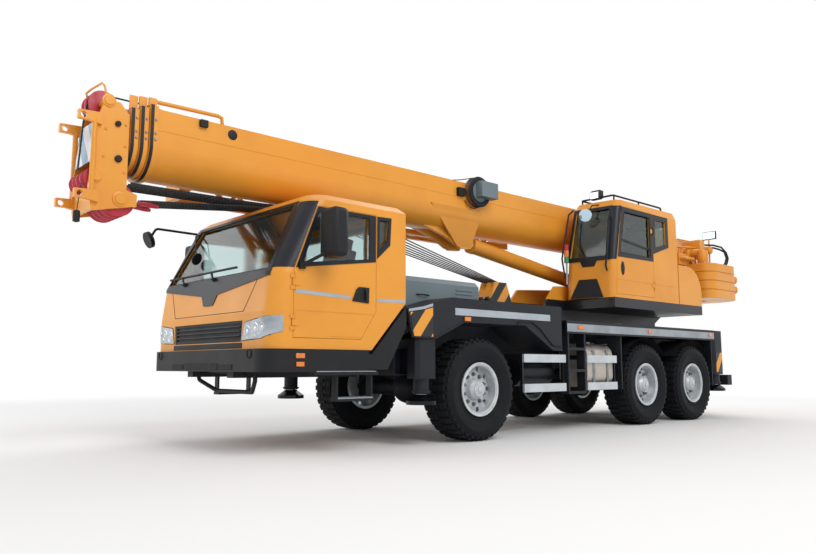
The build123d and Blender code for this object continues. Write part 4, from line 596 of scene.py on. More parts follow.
class CRANE_OT_tyres(bpy.types.Operator):
    """Makes the treaded tyres that stand for the plain tyre solids"""
    bl_idname = "crane.tyres"
    bl_label = "Tyres"

    def execute(self, context):
        radius = TYRE_RADIUS
        half = TYRE_HALF_WIDTH
        depth = sizes().lug_height
        carcass = radius - depth
        rim = 0.302
        wall = [(rim - 0.008, half - 0.055), (rim + 0.02, half - 0.046), (rim + 0.034, half - 0.034),
                (rim + 0.052, half - 0.036), (rim + 0.09, half - 0.01), (radius - 0.12, half),
                (radius - 0.112, half + 0.003), (radius - 0.096, half + 0.003),
                (radius - 0.088, half - 0.002), (radius - 0.052, half - 0.014),
                (carcass - 0.006, half - 0.048), (carcass, half - 0.085)]
        profile = [(r, -y) for r, y in wall] + wall[::-1]
        lugs = sizes().lugs
        pitch = 2 * math.pi / lugs
        for name in WHEEL_NAMES:
            low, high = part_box(f"tyre_{name}")
            centre = (low + high) / 2
            bm = bmesh.new()
            turned(bm, profile, centre, (0, 1, 0), 96)
            for count in range(lugs):
                for side in (1, -1):
                    a = (count + 0.25 * side) * pitch
                    wide = 0.31 * pitch
                    edge = side * (half - 0.05)
                    rib = [(a - wide, side * 0.072), (a + wide, side * 0.064),
                           (a + wide, edge), (a - wide, edge)]
                    tread_lug(bm, centre, rib, carcass - 0.012, radius)
                    last = side * (half - 0.014)
                    shoulder = [(a - wide * 0.9, edge * 0.98), (a + wide * 0.9, edge * 0.98),
                                (a + wide * 0.8, last), (a - wide * 0.8, last)]
                    tread_lug(bm, centre, shoulder, carcass - 0.055, radius - 0.026)
                    inner = [(a - wide * 1.1, side * 0.01), (a + wide * 1.2, side * 0.004),
                             (a + wide, side * 0.056), (a - wide, side * 0.06)]
                    tread_lug(bm, centre, inner, carcass - 0.01, radius)
            body = f"road_wheel_{name}"
            made = piece(f"treaded_tyre_{name}", body, "moulded_tyre_rubber", bm, angle=40.0)
            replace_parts(made, f"tyre_{name}")
        return {"FINISHED"}


class CRANE_OT_wheels(bpy.types.Operator):
    """Adds the wheel nuts, hub bolts, hub caps and rim rings"""
    bl_idname = "crane.wheels"
    bl_label = "Wheel fittings"

    def execute(self, context):
        disc, cap = 0.07, 0.165
        nut_circle, bolt_circle, rim_circle = 0.168, 0.062, 0.268
        for name in WHEEL_NAMES:
            side = 1 if name.endswith("left") else -1
            low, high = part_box(f"tyre_{name}")
            centre = (low + high) / 2
            out = Vector((0, side, 0))
            nuts = bmesh.new()
            for a in round_angles(sizes().nuts, 0.5):
                spoke = Vector((math.cos(a), 0, math.sin(a)))
                seat = centre + spoke * nut_circle
                turned(nuts, [(0, 0), (0.026, 0), (0.024, 0.008), (0, 0.008)], seat + out * disc, out, 16)
                nut(nuts, seat + out * (disc + 0.008), out, 0.019, 0.026)
                nut(nuts, centre + spoke * bolt_circle + out * cap, out, 0.009, 0.01)
            piece(f"wheel_nuts_{name}", f"road_wheel_{name}", "ground_steel", nuts)
            bm = bmesh.new()
            plate = [(0.082, 0), (0.082, 0.01), (0.074, 0.014), (0, 0.014)]
            turned(bm, plate, centre + out * (cap - 0.004), out, 40)
            boss = [(0, 0), (0.04, 0), (0.036, 0.018), (0.022, 0.024), (0, 0.024)]
            turned(bm, boss, centre + out * (cap + 0.008), out, 32)
            ring = [(0.0, 0.0), (0.008, 0.006), (0.0, 0.012), (-0.008, 0.006), (0.0, 0.0)]
            turned(bm, [(rim_circle + over, along) for over, along in ring], centre + out * 0.168, out, 64)
            piece(f"wheel_rings_{name}", f"road_wheel_{name}", "silver_wheel_enamel", bm)
        return {"FINISHED"}


def cowl_panel():
    """The dark panel under the windshield, deepest at the middle."""
    top = 1.705
    half = []
    for (y0, z0), (y1, z1) in zip(COWL_EDGE, COWL_EDGE[1:]):
        count = max(int((y1 - y0) / 0.04), 2)
        half += [(y0 + (y1 - y0) * n / count, z0 + (z1 - z0) * n / count) for n in range(count)]
    half.append(COWL_EDGE[-1])
    edge = [(-y, z) for y, z in half[:0:-1]] + half
    rows = []
    levels = ((0.0, -0.002), (0.0, 0.009), (0.35, 0.009), (0.7, 0.009), (1.0, 0.009), (1.0, -0.002))
    for share, proud in levels:
        rows.append(front_points([(y, top + (z - top) * share) for y, z in edge], proud))
    dark_sheet("cowl_panel", "chassis", rows)


def pillar_sheet(name, side):
    """The dark sheet round the cab's front corner, between the windshield and the door."""
    rows = []
    steps, levels = 10, 12
    low, high = 1.735, 2.4
    for level in range(levels + 1):
        z = low + level * (high - low) / levels
        share = (z - 1.72) / (2.35 - 1.72)
        centre_x = cab_front(z) - CORNER
        reach = CORNER + 0.003
        door_x = min(2.523 - 0.26 * share, centre_x + CORNER)
        first = math.asin(max(min((1.075 - 0.085 * share - (CAB_SIDE - CORNER)) / CORNER, 1.0), 0.0))
        last = math.acos(max(min((door_x - centre_x) / CORNER, 1.0), -1.0))
        row = []
        for step in range(steps + 1):
            a = first + (last - first) * step / steps
            y = CAB_SIDE - CORNER + reach * math.sin(a)
            row.append(at(centre_x + reach * math.cos(a), side * y, z))
        rows.append(row)
    dark_sheet(f"pillar_sheet_{name}", "chassis", rows)


def mirror_face(name, side):
    """The wide casing round a door mirror and its two glasses."""
    x = AXLE_X + 2.122
    block_piece(f"mirror_casing_{name}", f"door_{name}", PLASTIC, at(2.124, side * 1.318, 1.835),
                at(2.306, side * 1.562, 2.298), 0.045)
    bm = bmesh.new()
    y0, y1 = side * (CAB_SIDE + 0.135), side * (CAB_SIDE + 0.268)
    block(bm, (x - 0.004, y0, 2.08), (x + 0.004, y1, 2.255))
    block(bm, (x - 0.004, y0, 1.875), (x + 0.004, y1, 2.06))
    piece(f"mirror_faces_{name}", f"door_{name}", MIRROR, bm, 0.002)


def wipers():
    """Arms, blades and hubs of both wipers."""
    paths = []
    bm = bmesh.new()
    for y in (-0.62, 0.05):
        foot, knee, tip = front_points([(y, 1.715), (y - 0.12, 1.8), (y + 0.42, 1.795)], 0.035)
        paths.append([foot, knee])
        paths.append([knee + Vector((0.004, -0.3, -0.004)), tip])
        turned(bm, [(0, -0.03), (0.022, -0.03), (0.018, 0.012), (0, 0.012)], foot, (1, 0, 0.5), 20)
    tube("wiper_arms", "chassis", PLASTIC, paths, 0.012)
    piece("wiper_hubs", "chassis", PLASTIC, bm)


class CRANE_OT_cab_windows(bpy.types.Operator):
    """Adds the dark window surrounds, cowl, pillars, wipers and mirrors of the driver's cab"""
    bl_idname = "crane.cab_windows"
    bl_label = "Cab windows"

    def execute(self, context):
        thick = sizes().seal
        for name, side in SIDES:
            windows = (("door", f"door_{name}", DOOR_SURROUND, DOOR_GLASS, 0.009),
                       ("quarter", "chassis", QUARTER_SURROUND, QUARTER_GLASS, 0.008))
            for kind, body, outer, glass, seal in windows:
                loops = [side_points(loop, CAB_SIDE + 0.001, side) for loop in (outer, glass)]
                window_frame(f"{kind}_window_surround_{name}", body, *loops, (0, side * thick, 0))
            for kind, body, outer, glass, seal in windows:
                edge = side_points(glass, CAB_SIDE, side)
                tube(f"{kind}_window_seal_{name}", body, HOSE, [edge], seal, True)
            pillar_sheet(name, side)
            mirror_face(name, side)
        window_frame("windshield_surround", "chassis", front_points(WINDSHIELD_SURROUND),
                     front_points(WINDSHIELD), (thick, 0, 0.003))
        tube("windshield_seal", "chassis", HOSE, [front_points(WINDSHIELD, 0.0)], 0.01, True)
        cowl_panel()
        wipers()
        return {"FINISHED"}


def cab_steps(name, side):
    """Treads of the two steps under a door."""
    bm = bmesh.new()
    y0, y1 = side * (SKIRT_SIDE - 0.105), side * (SKIRT_SIDE + 0.004)
    block(bm, at(1.55, y0, 0.78), at(2.26, y1, 0.788))
    for count in range(22):
        x = 1.585 + count * 0.019
        block(bm, at(x, side * (SKIRT_SIDE - 0.125), 0.53), at(x + 0.01, side * (SKIRT_SIDE - 0.012), 0.54))
    block(bm, at(1.575, side * (SKIRT_SIDE - 0.128), 0.524), at(2.005, side * (SKIRT_SIDE - 0.008), 0.532))
    piece(f"step_treads_{name}", "chassis", "anodised_aluminium", bm, 0.0015)


def head_lamp(name, side):
    """Two bowls and a turn lamp on the headlamp's face, with a dark rim round it."""
    bowls = bmesh.new()
    rings = [(1, 0), (1, 0.006), (0.92, 0.008), (0.82, 0.003), (0.42, 0.002), (0.34, 0.007), (0, 0.009)]
    for y, z, radius in ((0.835, 1.152, 0.056), (0.975, 1.172, 0.058), (1.088, 1.186, 0.036)):
        lean = math.asin(min(max(y - CAB_SIDE + CORNER, 0.0) / CORNER, 1.0))
        centre = front_points([(side * y, z)], 0.001)[0]
        turned(bowls, scaled(rings, radius), centre, (math.cos(lean), side * math.sin(lean), 0), 36)
    piece(f"lamp_bowls_{name}", "chassis", "metallised_lamp_bowl", bowls)
    edge = [(0.732, 1.07), (0.777, 1.238), (0.9, 1.253), (1.02, 1.266), (1.1, 1.276), (1.17, 1.283)]
    low = [(1.17, 1.118), (1.08, 1.087), (0.95, 1.08), (0.84, 1.076)]
    rim = [(side * y, z) for y, z in edge + low]
    tube(f"head_lamp_rim_{name}", "chassis", DARK, [front_points(rim, 0.001)], 0.006, True)


def bumper_lamp(name, side):
    """The round lamp in the bumper."""
    bowl = [(0, 0.002), (0.04, 0.002), (0.046, 0.008), (0.038, 0.012), (0.034, 0.004), (0, 0.006)]
    turned_piece(f"fog_lamp_{name}", "chassis", PLASTIC, bowl, at(2.797, side * 0.96, 0.945), (1, 0, 0), 32)


def front_lines():
    """Pressed lines of the front lid, bars of the grille, the bumper's dark lip and its air slots."""
    lid = [[(-0.74, 1.345), (-0.92, 1.64)], [(0.74, 1.345), (0.92, 1.64)], [(-0.74, 1.345), (0.74, 1.345)]]
    tube("front_lid_lines", "chassis", PLASTIC, [front_points(line, 0.0005) for line in lid], 0.003)
    bm = bmesh.new()
    for z in (1.12, 1.163, 1.206):
        prism(bm, front_points(rectangle(-0.69, 0.69, z - 0.005, z + 0.005), -0.006), (0.01, 0, 0))
    piece("grille_bars", "chassis", DARK, bm, 0.002)
    lip = front_points(rectangle(-0.735, 0.735, 1.0, 1.052), 0.001)
    prism_piece("bumper_lip", "chassis", PLASTIC, lip, (0.006, 0, 0), 0.003)
    bm = bmesh.new()
    for y in (-0.52, 0.52):
        block(bm, at(2.8, y - 0.13, 0.8), at(2.806, y + 0.13, 0.85))
    block(bm, at(2.8, -0.36, 0.795), at(2.804, 0.36, 0.862))
    piece("bumper_air_slots", "chassis", HOSE, bm, 0.003)


def spot_mirror():
    """The small round mirror that hangs before the windshield from the roof's right corner."""
    disc = at(2.6, -0.58, 2.0)
    tube("spot_mirror_arm", "chassis", PLASTIC,
         [[at(2.36, -1.03, 2.36), at(2.46, -0.92, 2.31), at(2.58, -0.66, 2.1), disc]], 0.009)
    shell = [(0, -0.03), (0.045, -0.026), (0.066, -0.008), (0.07, 0.004), (0.064, 0.008), (0, 0.004)]
    turned_piece("spot_mirror", "chassis", PLASTIC, shell, disc, (-0.3, 0.8, -0.4), 32)


class CRANE_OT_cab_trim(bpy.types.Operator):
    """Adds the strips, grips, pressed lines, lamps, steps and spot mirror of the driver's cab"""
    bl_idname = "crane.cab_trim"
    bl_label = "Cab trim"

    def execute(self, context):
        for name, side in SIDES:
            door = f"door_{name}"
            strip = [(2.494, 1.5), (1.872, 1.478), (1.872, 1.512), (2.494, 1.536)]
            wall_plates(f"door_strip_{name}", door, STRIP, [strip], CAB_SIDE, side, 0.003)
            strip = [(1.535, 1.47), (1.165, 1.484), (1.165, 1.514), (1.535, 1.504)]
            wall_plates(f"cab_strip_{name}", "chassis", STRIP, [strip], CAB_SIDE, side, 0.003)
            grip = [(1.85, 1.462), (1.645, 1.448), (1.64, 1.604), (1.765, 1.606), (1.8, 1.58)]
            wall_plates(f"door_grip_plate_{name}", door, PLASTIC, [grip], CAB_SIDE, side, 0.012, 0.003)
            ends = [at(1.69, side * (CAB_SIDE + 0.008), z) for z in (1.47, 1.59)]
            tube(f"door_grip_{name}", door, PLASTIC, [bowed(*ends, (0, side * 0.022, 0))], 0.012)
            lines = [rectangle(2.5, 1.56, 1.339, 1.345), rectangle(2.1, 1.72, 1.11, 1.114)]
            wall_plates(f"door_press_lines_{name}", door, ORANGE, lines, CAB_SIDE, side, 0.004, 0.002)
            marks = [rectangle(2.395, 2.49, 0.905, 0.95), rectangle(2.4, 2.485, 0.83, 0.872)]
            wall_plates(f"bumper_markers_{name}", "chassis", AMBER, marks, SKIRT_SIDE, side, 0.01, 0.003)
            cab_steps(name, side)
            bumper_lamp(name, side)
            head_lamp(name, side)
        front_lines()
        spot_mirror()
        return {"FINISHED"}


# Distance of both seats from the middle plane, and of the sewn channels from a seat's middle
SEAT_Y = 0.56
SEAMS = (-0.13, 0.13)


def seat_bases():
    """Sprung stands with a bellows skirt between floor and seat pan."""
    bm = bmesh.new()
    for side in (1, -1):
        y = side * SEAT_Y
        block(bm, at(1.62, y - 0.2, 1.05), at(1.98, y + 0.2, 1.075))
        for fold in range(5):
            z = 1.075 + fold * 0.046
            block(bm, at(1.66, y - 0.15, z), at(1.94, y + 0.15, z + 0.04))
        block(bm, at(1.58, y - 0.22, 1.305), at(2.02, y + 0.22, 1.35))
    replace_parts(piece("seat_stands", "chassis", PLASTIC, bm, 0.008), "cab_interior")


def dash_board():
    """The dash with its binnacle, and the steering wheel on its column."""
    bm = bmesh.new()
    board = [(2.38, 1.05), (2.6, 1.05), (2.6, 1.63), (2.43, 1.67), (2.33, 1.55), (2.42, 1.43)]
    prism(bm, side_points(board, -1.0), (0, 2.0, 0))
    binnacle = [(2.36, 1.58), (2.54, 1.64), (2.52, 1.7), (2.4, 1.71), (2.33, 1.63)]
    prism(bm, side_points(binnacle, 0.34), (0, 0.44, 0))
    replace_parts(piece("dash_board", "chassis", PLASTIC, bm, 0.012), "cab_interior")
    hub, axis = at(2.18, SEAT_Y, 1.65), Vector((-0.5, 0, 0.86)).normalized()
    bm = bmesh.new()
    grip = 0.015
    ring = [(0.225 + grip * math.cos(a), grip * math.sin(a)) for a in round_angles(10)]
    turned(bm, ring + ring[:1], hub, axis, 56)
    turned(bm, [(0, -0.05), (0.055, -0.04), (0.065, 0.0), (0.05, 0.018), (0, 0.022)], hub, axis, 28)
    slope = axis.cross(Vector((0, 1, 0)))
    for reach in (Vector((0, 1, 0)), Vector((0, -1, 0)), slope):
        turned(bm, [(0, 0.05), (0.014, 0.05), (0.011, 0.216), (0, 0.216)], hub - axis * 0.012, reach, 14)
    turned(bm, [(0, 0.03), (0.034, 0.03), (0.04, 0.4), (0, 0.4)], hub, -axis + Vector((0.02, 0, 0)), 24)
    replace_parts(piece("steering_wheel", "chassis", PLASTIC, bm), "cab_interior")


def cab_linings():
    """Plates on the rear wall and roof of the driver's cab, and the card of the operator's door."""
    bm = bmesh.new()
    outer = [(-1.1, 1.6), (1.1, 1.6), (1.08, 2.37), (-1.08, 2.37)]
    inner = [(-0.62, 1.93), (0.62, 1.93), (0.62, 2.32), (-0.62, 2.32)]
    surround(bm, [at(1.213, y, z) for y, z in outer], [at(1.213, y, z) for y, z in inner], (0.004, 0, 0))
    block(bm, at(1.32, -1.07, 2.42), at(2.16, 1.07, 2.425))
    piece("driver_cab_lining", "chassis", LINING, bm, 0.001)
    low = [(-3.82, 1.9), (-2.92, 1.9), (-2.98, 2.4), (-3.82, 2.4)]
    prism_piece("operator_door_card", "upper_cab_door", LINING,
                side_points(low, OPERATOR_SIDE - 0.064), (0, -0.005, 0), 0.001)


def operator_seat():
    """The operator's seat with its stand, arm rests and levers."""
    y = 0.84
    body, node = UPPER, "operator_seat"
    cushion("operator_cushion", body, node, at(-3.74, y, 2.226), (0.26, 0.24, 0.06), -3, SEAMS)
    cushion("operator_back", body, node, at(-4.01, y, 2.6), (0.345, 0.235, 0.055), 78.0, SEAMS)
    cushion("operator_head_rest", body, node, at(-4.09, y, 2.975), (0.07, 0.13, 0.042), 78.0, ())
    bm = bmesh.new()
    block(bm, at(-3.92, 0.66, 1.846), at(-3.56, 1.02, 1.87))
    for fold in range(5):
        z = 1.87 + fold * 0.048
        block(bm, at(-3.88, 0.7, z), at(-3.6, 0.98, z + 0.042))
    block(bm, at(-3.96, 0.62, 2.11), at(-3.52, 1.06, 2.166))
    for near, far in ((0.52, 0.59), (1.09, 1.16)):
        arm = [(-3.9, 2.27), (-3.42, 2.27), (-3.42, 2.35), (-3.5, 2.406), (-3.9, 2.39)]
        prism(bm, side_points(arm, near), (0, far - near, 0))
        lever = [(0, 0), (0.02, 0), (0.009, 0.03), (0.008, 0.1), (0.02, 0.12), (0.017, 0.17), (0, 0.175)]
        turned(bm, lever, at(-3.5, (near + far) / 2, 2.39), (0.1, 0, 1), 20)
    block(bm, at(-3.86, 0.52, 2.255), at(-3.72, 1.16, 2.275))
    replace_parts(piece("operator_seat_stand", body, PLASTIC, bm, 0.006), node)


class CRANE_OT_cab_inside(bpy.types.Operator):
    """Makes the seats, dash, steering wheel, door cards and linings of both cabs"""
    bl_idname = "crane.cab_inside"
    bl_label = "Cab insides"

    def execute(self, context):
        for name, side in SIDES:
            y = side * SEAT_Y
            body, node = "chassis", "cab_interior"
            lean = 79.0
            cushion(f"seat_cushion_{name}", body, node, at(1.8, y, 1.415), (0.24, 0.24, 0.065), -3, SEAMS)
            half = (0.305, 0.235, 0.058)
            cushion(f"seat_back_{name}", body, node, at(1.565, y, 1.755), half, lean, SEAMS)
            cushion(f"head_rest_{name}", body, node, at(1.47, y, 2.115), (0.075, 0.13, 0.045), lean, ())
            card = [(1.6, 1.4), (1.8, 1.13), (2.44, 1.13), (2.44, 1.7), (1.6, 1.7)]
            wall = CAB_SIDE - 0.061
            wall_plates(f"door_card_{name}", f"door_{name}", LINING, [card], wall, side, -0.007, 0.002)
        seat_bases()
        dash_board()
        cab_linings()
        operator_seat()
        return {"FINISHED"}


# Station and height of the side markers
MARKERS = [(0.24, 1.355), (-1.9, 1.337), (-3.63, 1.337), (-5.5, 1.337)]


def tail_lenses(name, side):
    """Red lenses with an amber outer end over the tail lamps."""
    for finish, near, far in (("red_acrylic", 0.758, 1.02), (AMBER, 1.024, 1.162)):
        loop = [at(-6.35, side * y, z) for y, z in rectangle(near, far, 0.543, 0.667)]
        prism_piece(f"tail_lens_{finish}_{name}", "chassis", finish, loop, (-0.034, 0, 0), 0.004)


def arch_edge(name, side):
    """The rolled lips of the wheel arches and the loop of brake pipe on the fender."""
    arch = [(1.04, 1.132), (0.725, 1.132), (0.29, 1.32), (-0.77, 1.327), (-1.31, 1.034), (-1.5, 1.034)]
    tube(f"arch_lip_{name}", "chassis", BLACK, [side_points(arch, SKIRT_SIDE, side)], 0.01)
    loop = [(-0.62, 1.33), (-0.66, 1.362), (-0.9, 1.366), (-1.05, 1.29), (-1.3, 1.09), (-1.49, 1.078)]
    tube(f"fender_pipe_{name}", "chassis", HOSE, [side_points(loop, SKIRT_SIDE + 0.01, side)], 0.007)


def deck_plates(name, side):
    """Raised lozenges of the tread plate on the decks."""
    bm = bmesh.new()
    pitch = 0.055
    length, width, height = 0.017, 0.005, 0.002
    for low, high, z in ((-5.6, -1.66, 1.42), (-1.45, 0.44, 1.583)):
        rows = int((high - low) / pitch)
        for row in range(rows):
            for column in range(6):
                x = low + row * pitch
                y = side * (0.86 + column * 0.06)
                turn = 1 if (row + column) % 2 else -1
                a, b = Vector((length, turn * length, 0)), Vector((-turn * width, width, 0))
                middle = at(x, y, z)
                corners = [middle + a, middle + b, middle - a, middle - b]
                base = [bm.verts.new(corner) for corner in corners]
                peak = bm.verts.new(middle + Vector((0, 0, height)))
                for index in range(4):
                    bm.faces.new((base[index], base[(index + 1) % 4], peak))
    piece(f"deck_tread_{name}", "chassis", BLACK, bm)


def mudguards(name, side):
    """Arched guards under the deck, over the middle and rear tyres."""
    bm = bmesh.new()
    for axle in (-3.55, -4.935):
        for reach in (0.679, 0.672):
            rows = []
            for step in range(25):
                a = math.radians(38 + 104 * step / 24)
                rows.append([at(axle + reach * math.cos(a), side * y, TYRE_RADIUS + reach * math.sin(a))
                             for y in (0.8, 1.02, 1.22)])
            sheet(bm, rows)
    piece(f"mudguards_{name}", "chassis", PLASTIC, bm)


def tank_straps(name, side):
    """Straps and filler cap of a tank."""
    bm = bmesh.new()
    top = 1.13 if side > 0 else 1.18
    half = 0.025
    for x in (-2.62, -2.3):
        block(bm, at(x - half, side * 0.74, top + 0.001), at(x + half, side * 1.165, top + 0.007))
        block(bm, at(x - half, side * 1.17, 0.62), at(x + half, side * 1.176, 1.07))
    turned(bm, stud(0.055, 0.035, 0.045, 0.045), at(-2.46, side * 0.95, top), (0, 0, 1), 24)
    piece(f"tank_straps_{name}", "chassis", "ground_steel", bm, 0.002)


def hood_fittings():
    """Hinges, louvres, ribs and grips of the engine hood."""
    bm = bmesh.new()
    for side in (1, -1):
        for x in (-0.25, 0.25, 0.8):
            block(bm, at(x, side * 0.82, 1.46), at(x + 0.1, side * 0.832, 1.52))
        for count in range(6):
            z = 1.5 + count * 0.045
            block(bm, at(-0.3, side * 0.82, z), at(-0.02, side * 0.829, z + 0.018))
    for x in (0.25, 0.8):
        block(bm, at(x, -0.62, 1.85), at(x + 0.03, 0.62, 1.858))
    piece("hood_fittings", "chassis", "satin_hood_enamel", bm, 0.003)
    grips = []
    for side in (1, -1):
        ends = [at(x, side * 0.822, 1.64) for x in (0.42, 0.62)]
        grips.append(bowed(*ends, (0, side * 0.035, 0), 8))
    tube("hood_grips", "chassis", PLASTIC, grips, 0.008)


def drive_line():
    """The propeller shafts between gearbox and axles, with their joints."""
    bm = bmesh.new()
    runs = [((-0.32, 0.98), (-3.36, 0.66)), ((-3.74, 0.62), (-4.74, 0.62))]
    for (x0, z0), (x1, z1) in runs:
        start, end = at(x0, 0, z0), at(x1, 0, z1)
        length = (end - start).length
        joint, shaft = 0.075, 0.05
        shape = [(0, 0), (joint, 0), (joint, 0.05), (shaft, 0.11), (shaft, length - 0.11)]
        shape += [(joint, length - 0.05), (joint, length), (0, length)]
        turned(bm, shape, start, end - start, 24)
    piece("propeller_shafts", "chassis", BLACK, bm)


class CRANE_OT_chassis_trim(bpy.types.Operator):
    """Adds the strips, lenses, guards, hood fittings, straps, pipes and shafts of the chassis"""
    bl_idname = "crane.chassis_trim"
    bl_label = "Chassis trim"

    def execute(self, context):
        for name, side in SIDES:
            sweep = [(1.115, 1.398), (0.905, 1.432), (0.77, 1.47), (0.77, 1.5), (0.905, 1.462),
                     (1.115, 1.425)]
            strips = [rectangle(-1.26, 0.43, 1.392, 1.47), sweep]
            wall_plates(f"fender_strips_{name}", "chassis", STRIP, strips, SKIRT_SIDE, side, 0.004)
            wall_plates(f"deck_rail_band_{name}", "chassis", "anodised_aluminium",
                        [rectangle(-5.645, -1.615, 1.278, 1.382)], SKIRT_SIDE, side, 0.006, 0.002)
            hazard = [[(1.095, 1.392), (1.04, 1.145), (0.77, 1.145), (0.77, 1.455), (0.9, 1.425)]]
            wall_plates(f"front_hazard_panel_{name}", "chassis", HAZARD, hazard, SKIRT_SIDE, side, 0.004)
            marks = [rectangle(x - 0.047, x + 0.047, z - 0.024, z + 0.024) for x, z in MARKERS]
            wall_plates(f"side_markers_{name}", "chassis", AMBER, marks, SKIRT_SIDE, side, 0.0165, 0.003)
            tail_lenses(name, side)
            arch_edge(name, side)
            deck_plates(name, side)
            tank_straps(name, side)
            mudguards(name, side)
        hood_fittings()
        drive_line()
        return {"FINISHED"}


def hazard_panel(name, middle, out, side):
    """The striped panel on a jack housing."""
    reach = 0.108
    loop = [(middle + x, out, z) for x, z in rectangle(-reach, reach, 0.74, 1.06)]
    prism_piece(f"jack_hazard_panel_{name}", f"beam_{name}", HAZARD, loop, (0, side * 0.003, 0))


class CRANE_OT_outrigger_trim(bpy.types.Operator):
    """Adds hazard panels, float bolts and jack collars to the outriggers"""
    bl_idname = "crane.outrigger_trim"
    bl_label = "Outrigger trim"

    def execute(self, context):
        for name in CORNER_NAMES:
            side = 1 if name.endswith("left") else -1
            low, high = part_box(f"outrigger_beam_{name}")
            out = high.y if side > 0 else low.y
            foot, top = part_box(f"outrigger_jack_{name}")
            middle = (foot.x + top.x) / 2
            if name.startswith("rear"):
                hazard_panel(name, middle, out, side)
            bm = bmesh.new()
            centre = Vector((middle, (foot.y + top.y) / 2, 0))
            for a in round_angles(8):
                spot = Vector((math.cos(a) * 0.125, math.sin(a) * 0.125, foot.z + 0.048))
                nut(bm, centre + spot, (0, 0, 1), *BOLT)
            piece(f"float_bolts_{name}", f"jack_{name}", BLACK, bm)
            collar = [(0.086, 0.0), (0.1, 0.0), (0.1, 0.022), (0.086, 0.022)]
            mouth = centre + Vector((0, 0, 0.552))
            turned_piece(f"jack_collar_{name}", f"beam_{name}", BLACK, collar, mouth, (0, 0, 1), 40)
        return {"FINISHED"}


# Station, height and end radius of each winch
WINCHES = ((-6.37, 2.85, 0.165), (-6.84, 2.955, 0.15))


def operator_front(y, z, proud=0.004):
    """A point on the operator cab's front wall, which slants back to the left and upward."""
    levels = [(1.8, 0.0), (2.36, 0.04), (3.13, 0.22), (3.24, 0.28)]
    lean = 0.0
    for (z0, lean0), (z1, lean1) in zip(levels, levels[1:]):
        if z >= z0:
            lean = lean0 + (lean1 - lean0) * min((z - z0) / (z1 - z0), 1.0)
    share = (y - 0.46) / (OPERATOR_SIDE - 0.46)
    right, left = -2.66 - lean, -2.79 - lean * 0.8
    return at(right + (left - right) * share + proud, y, z)


def operator_loop(outline):
    """Points on the operator cab's front wall from (y, height) pairs."""
    return [operator_front(y, z) for y, z in outline]


def operator_face():
    """Windshield surround, panels and wiper of the operator's cab."""
    glass = [(0.536, 2.406), (1.114, 2.406), (1.086, 3.104), (0.566, 3.104)]
    outer = [(0.49, 2.34), (1.17, 2.34), (1.14, 3.15), (0.52, 3.15)]
    thick = sizes().seal
    window_frame("upper_front_surround", UPPER, operator_loop(outer), operator_loop(glass), (thick, 0, 0))
    bm = bmesh.new()
    panel = [(0.56, 1.805), (1.06, 1.805), (0.96, 2.075), (0.69, 2.075)]
    prism(bm, operator_loop(panel), (thick, 0, 0))
    shield = [(0.7, 2.345), (0.96, 2.345), (0.92, 2.26), (0.74, 2.26)]
    prism(bm, operator_loop(shield), (thick, 0, 0))
    piece("upper_front_panels", UPPER, DARK, bm, 0.002)
    path = [operator_front(*spot) for spot in ((0.78, 2.36, 0.02), (0.64, 2.62, 0.03), (0.62, 2.98, 0.03))]
    tube("upper_wiper", UPPER, PLASTIC, [path], 0.007)


def corner_sheet():
    """The dark sheet round the cab's front left corner, from the windshield to the door."""
    rows = []
    levels, steps, count = 14, 32, 12
    low, high = 2.345, 3.14
    roundness = 0.764
    for level in range(levels + 1):
        z = low + level * (high - low) / levels
        corner = operator_front(OPERATOR_SIDE, z, 0.0)
        first, last = operator_front(1.128, z, 0.0), corner + Vector((-0.093, 0, 0))
        door = AXLE_X - 2.884 - (z - 2.36) * 0.2115
        arc = []
        for step in range(steps + 1):
            t = step / steps
            parts = [(1 - t) ** 2, 2 * roundness * t * (1 - t), t * t]
            arc.append((first * parts[0] + corner * parts[1] + last * parts[2]) / sum(parts))
        kept = [operator_front(1.105, z, 0.0)] + [point for point in arc if point.x > door]
        row = []
        for step in range(count + 1):
            spot = step * (len(kept) - 1) / count
            index = min(int(spot), len(kept) - 2)
            point = kept[index].lerp(kept[index + 1], spot - index)
            row.append(point + Vector((0.0035, 0.0035, 0)))
        rows.append(row)
    dark_sheet("upper_corner_sheet", UPPER, rows)


def operator_linings():
    """Dark plates on the inner walls and roof of the operator's cab."""
    bm = bmesh.new()
    wall, thick = 0.5065, 0.004
    right = [(-4.45, 1.9), (-2.85, 1.9), (-2.9, 2.42), (-4.45, 2.42)]
    prism(bm, side_points(right, wall), (0, thick, 0))
    rear = [at(-4.553, y, z) for y, z in rectangle(0.52, 1.16, 1.9, 2.54)]
    prism(bm, rear, (thick, 0, 0))
    block(bm, at(-4.48, 0.56, 3.18), at(-3.05, 1.12, 3.186))
    for low, high in ((-4.45, -4.31), (-3.14, -3.0)):
        prism(bm, side_points(rectangle(low, high, 2.42, 3.08), wall), (0, thick, 0))
    piece("operator_cab_lining", UPPER, DARK, bm, 0.001)


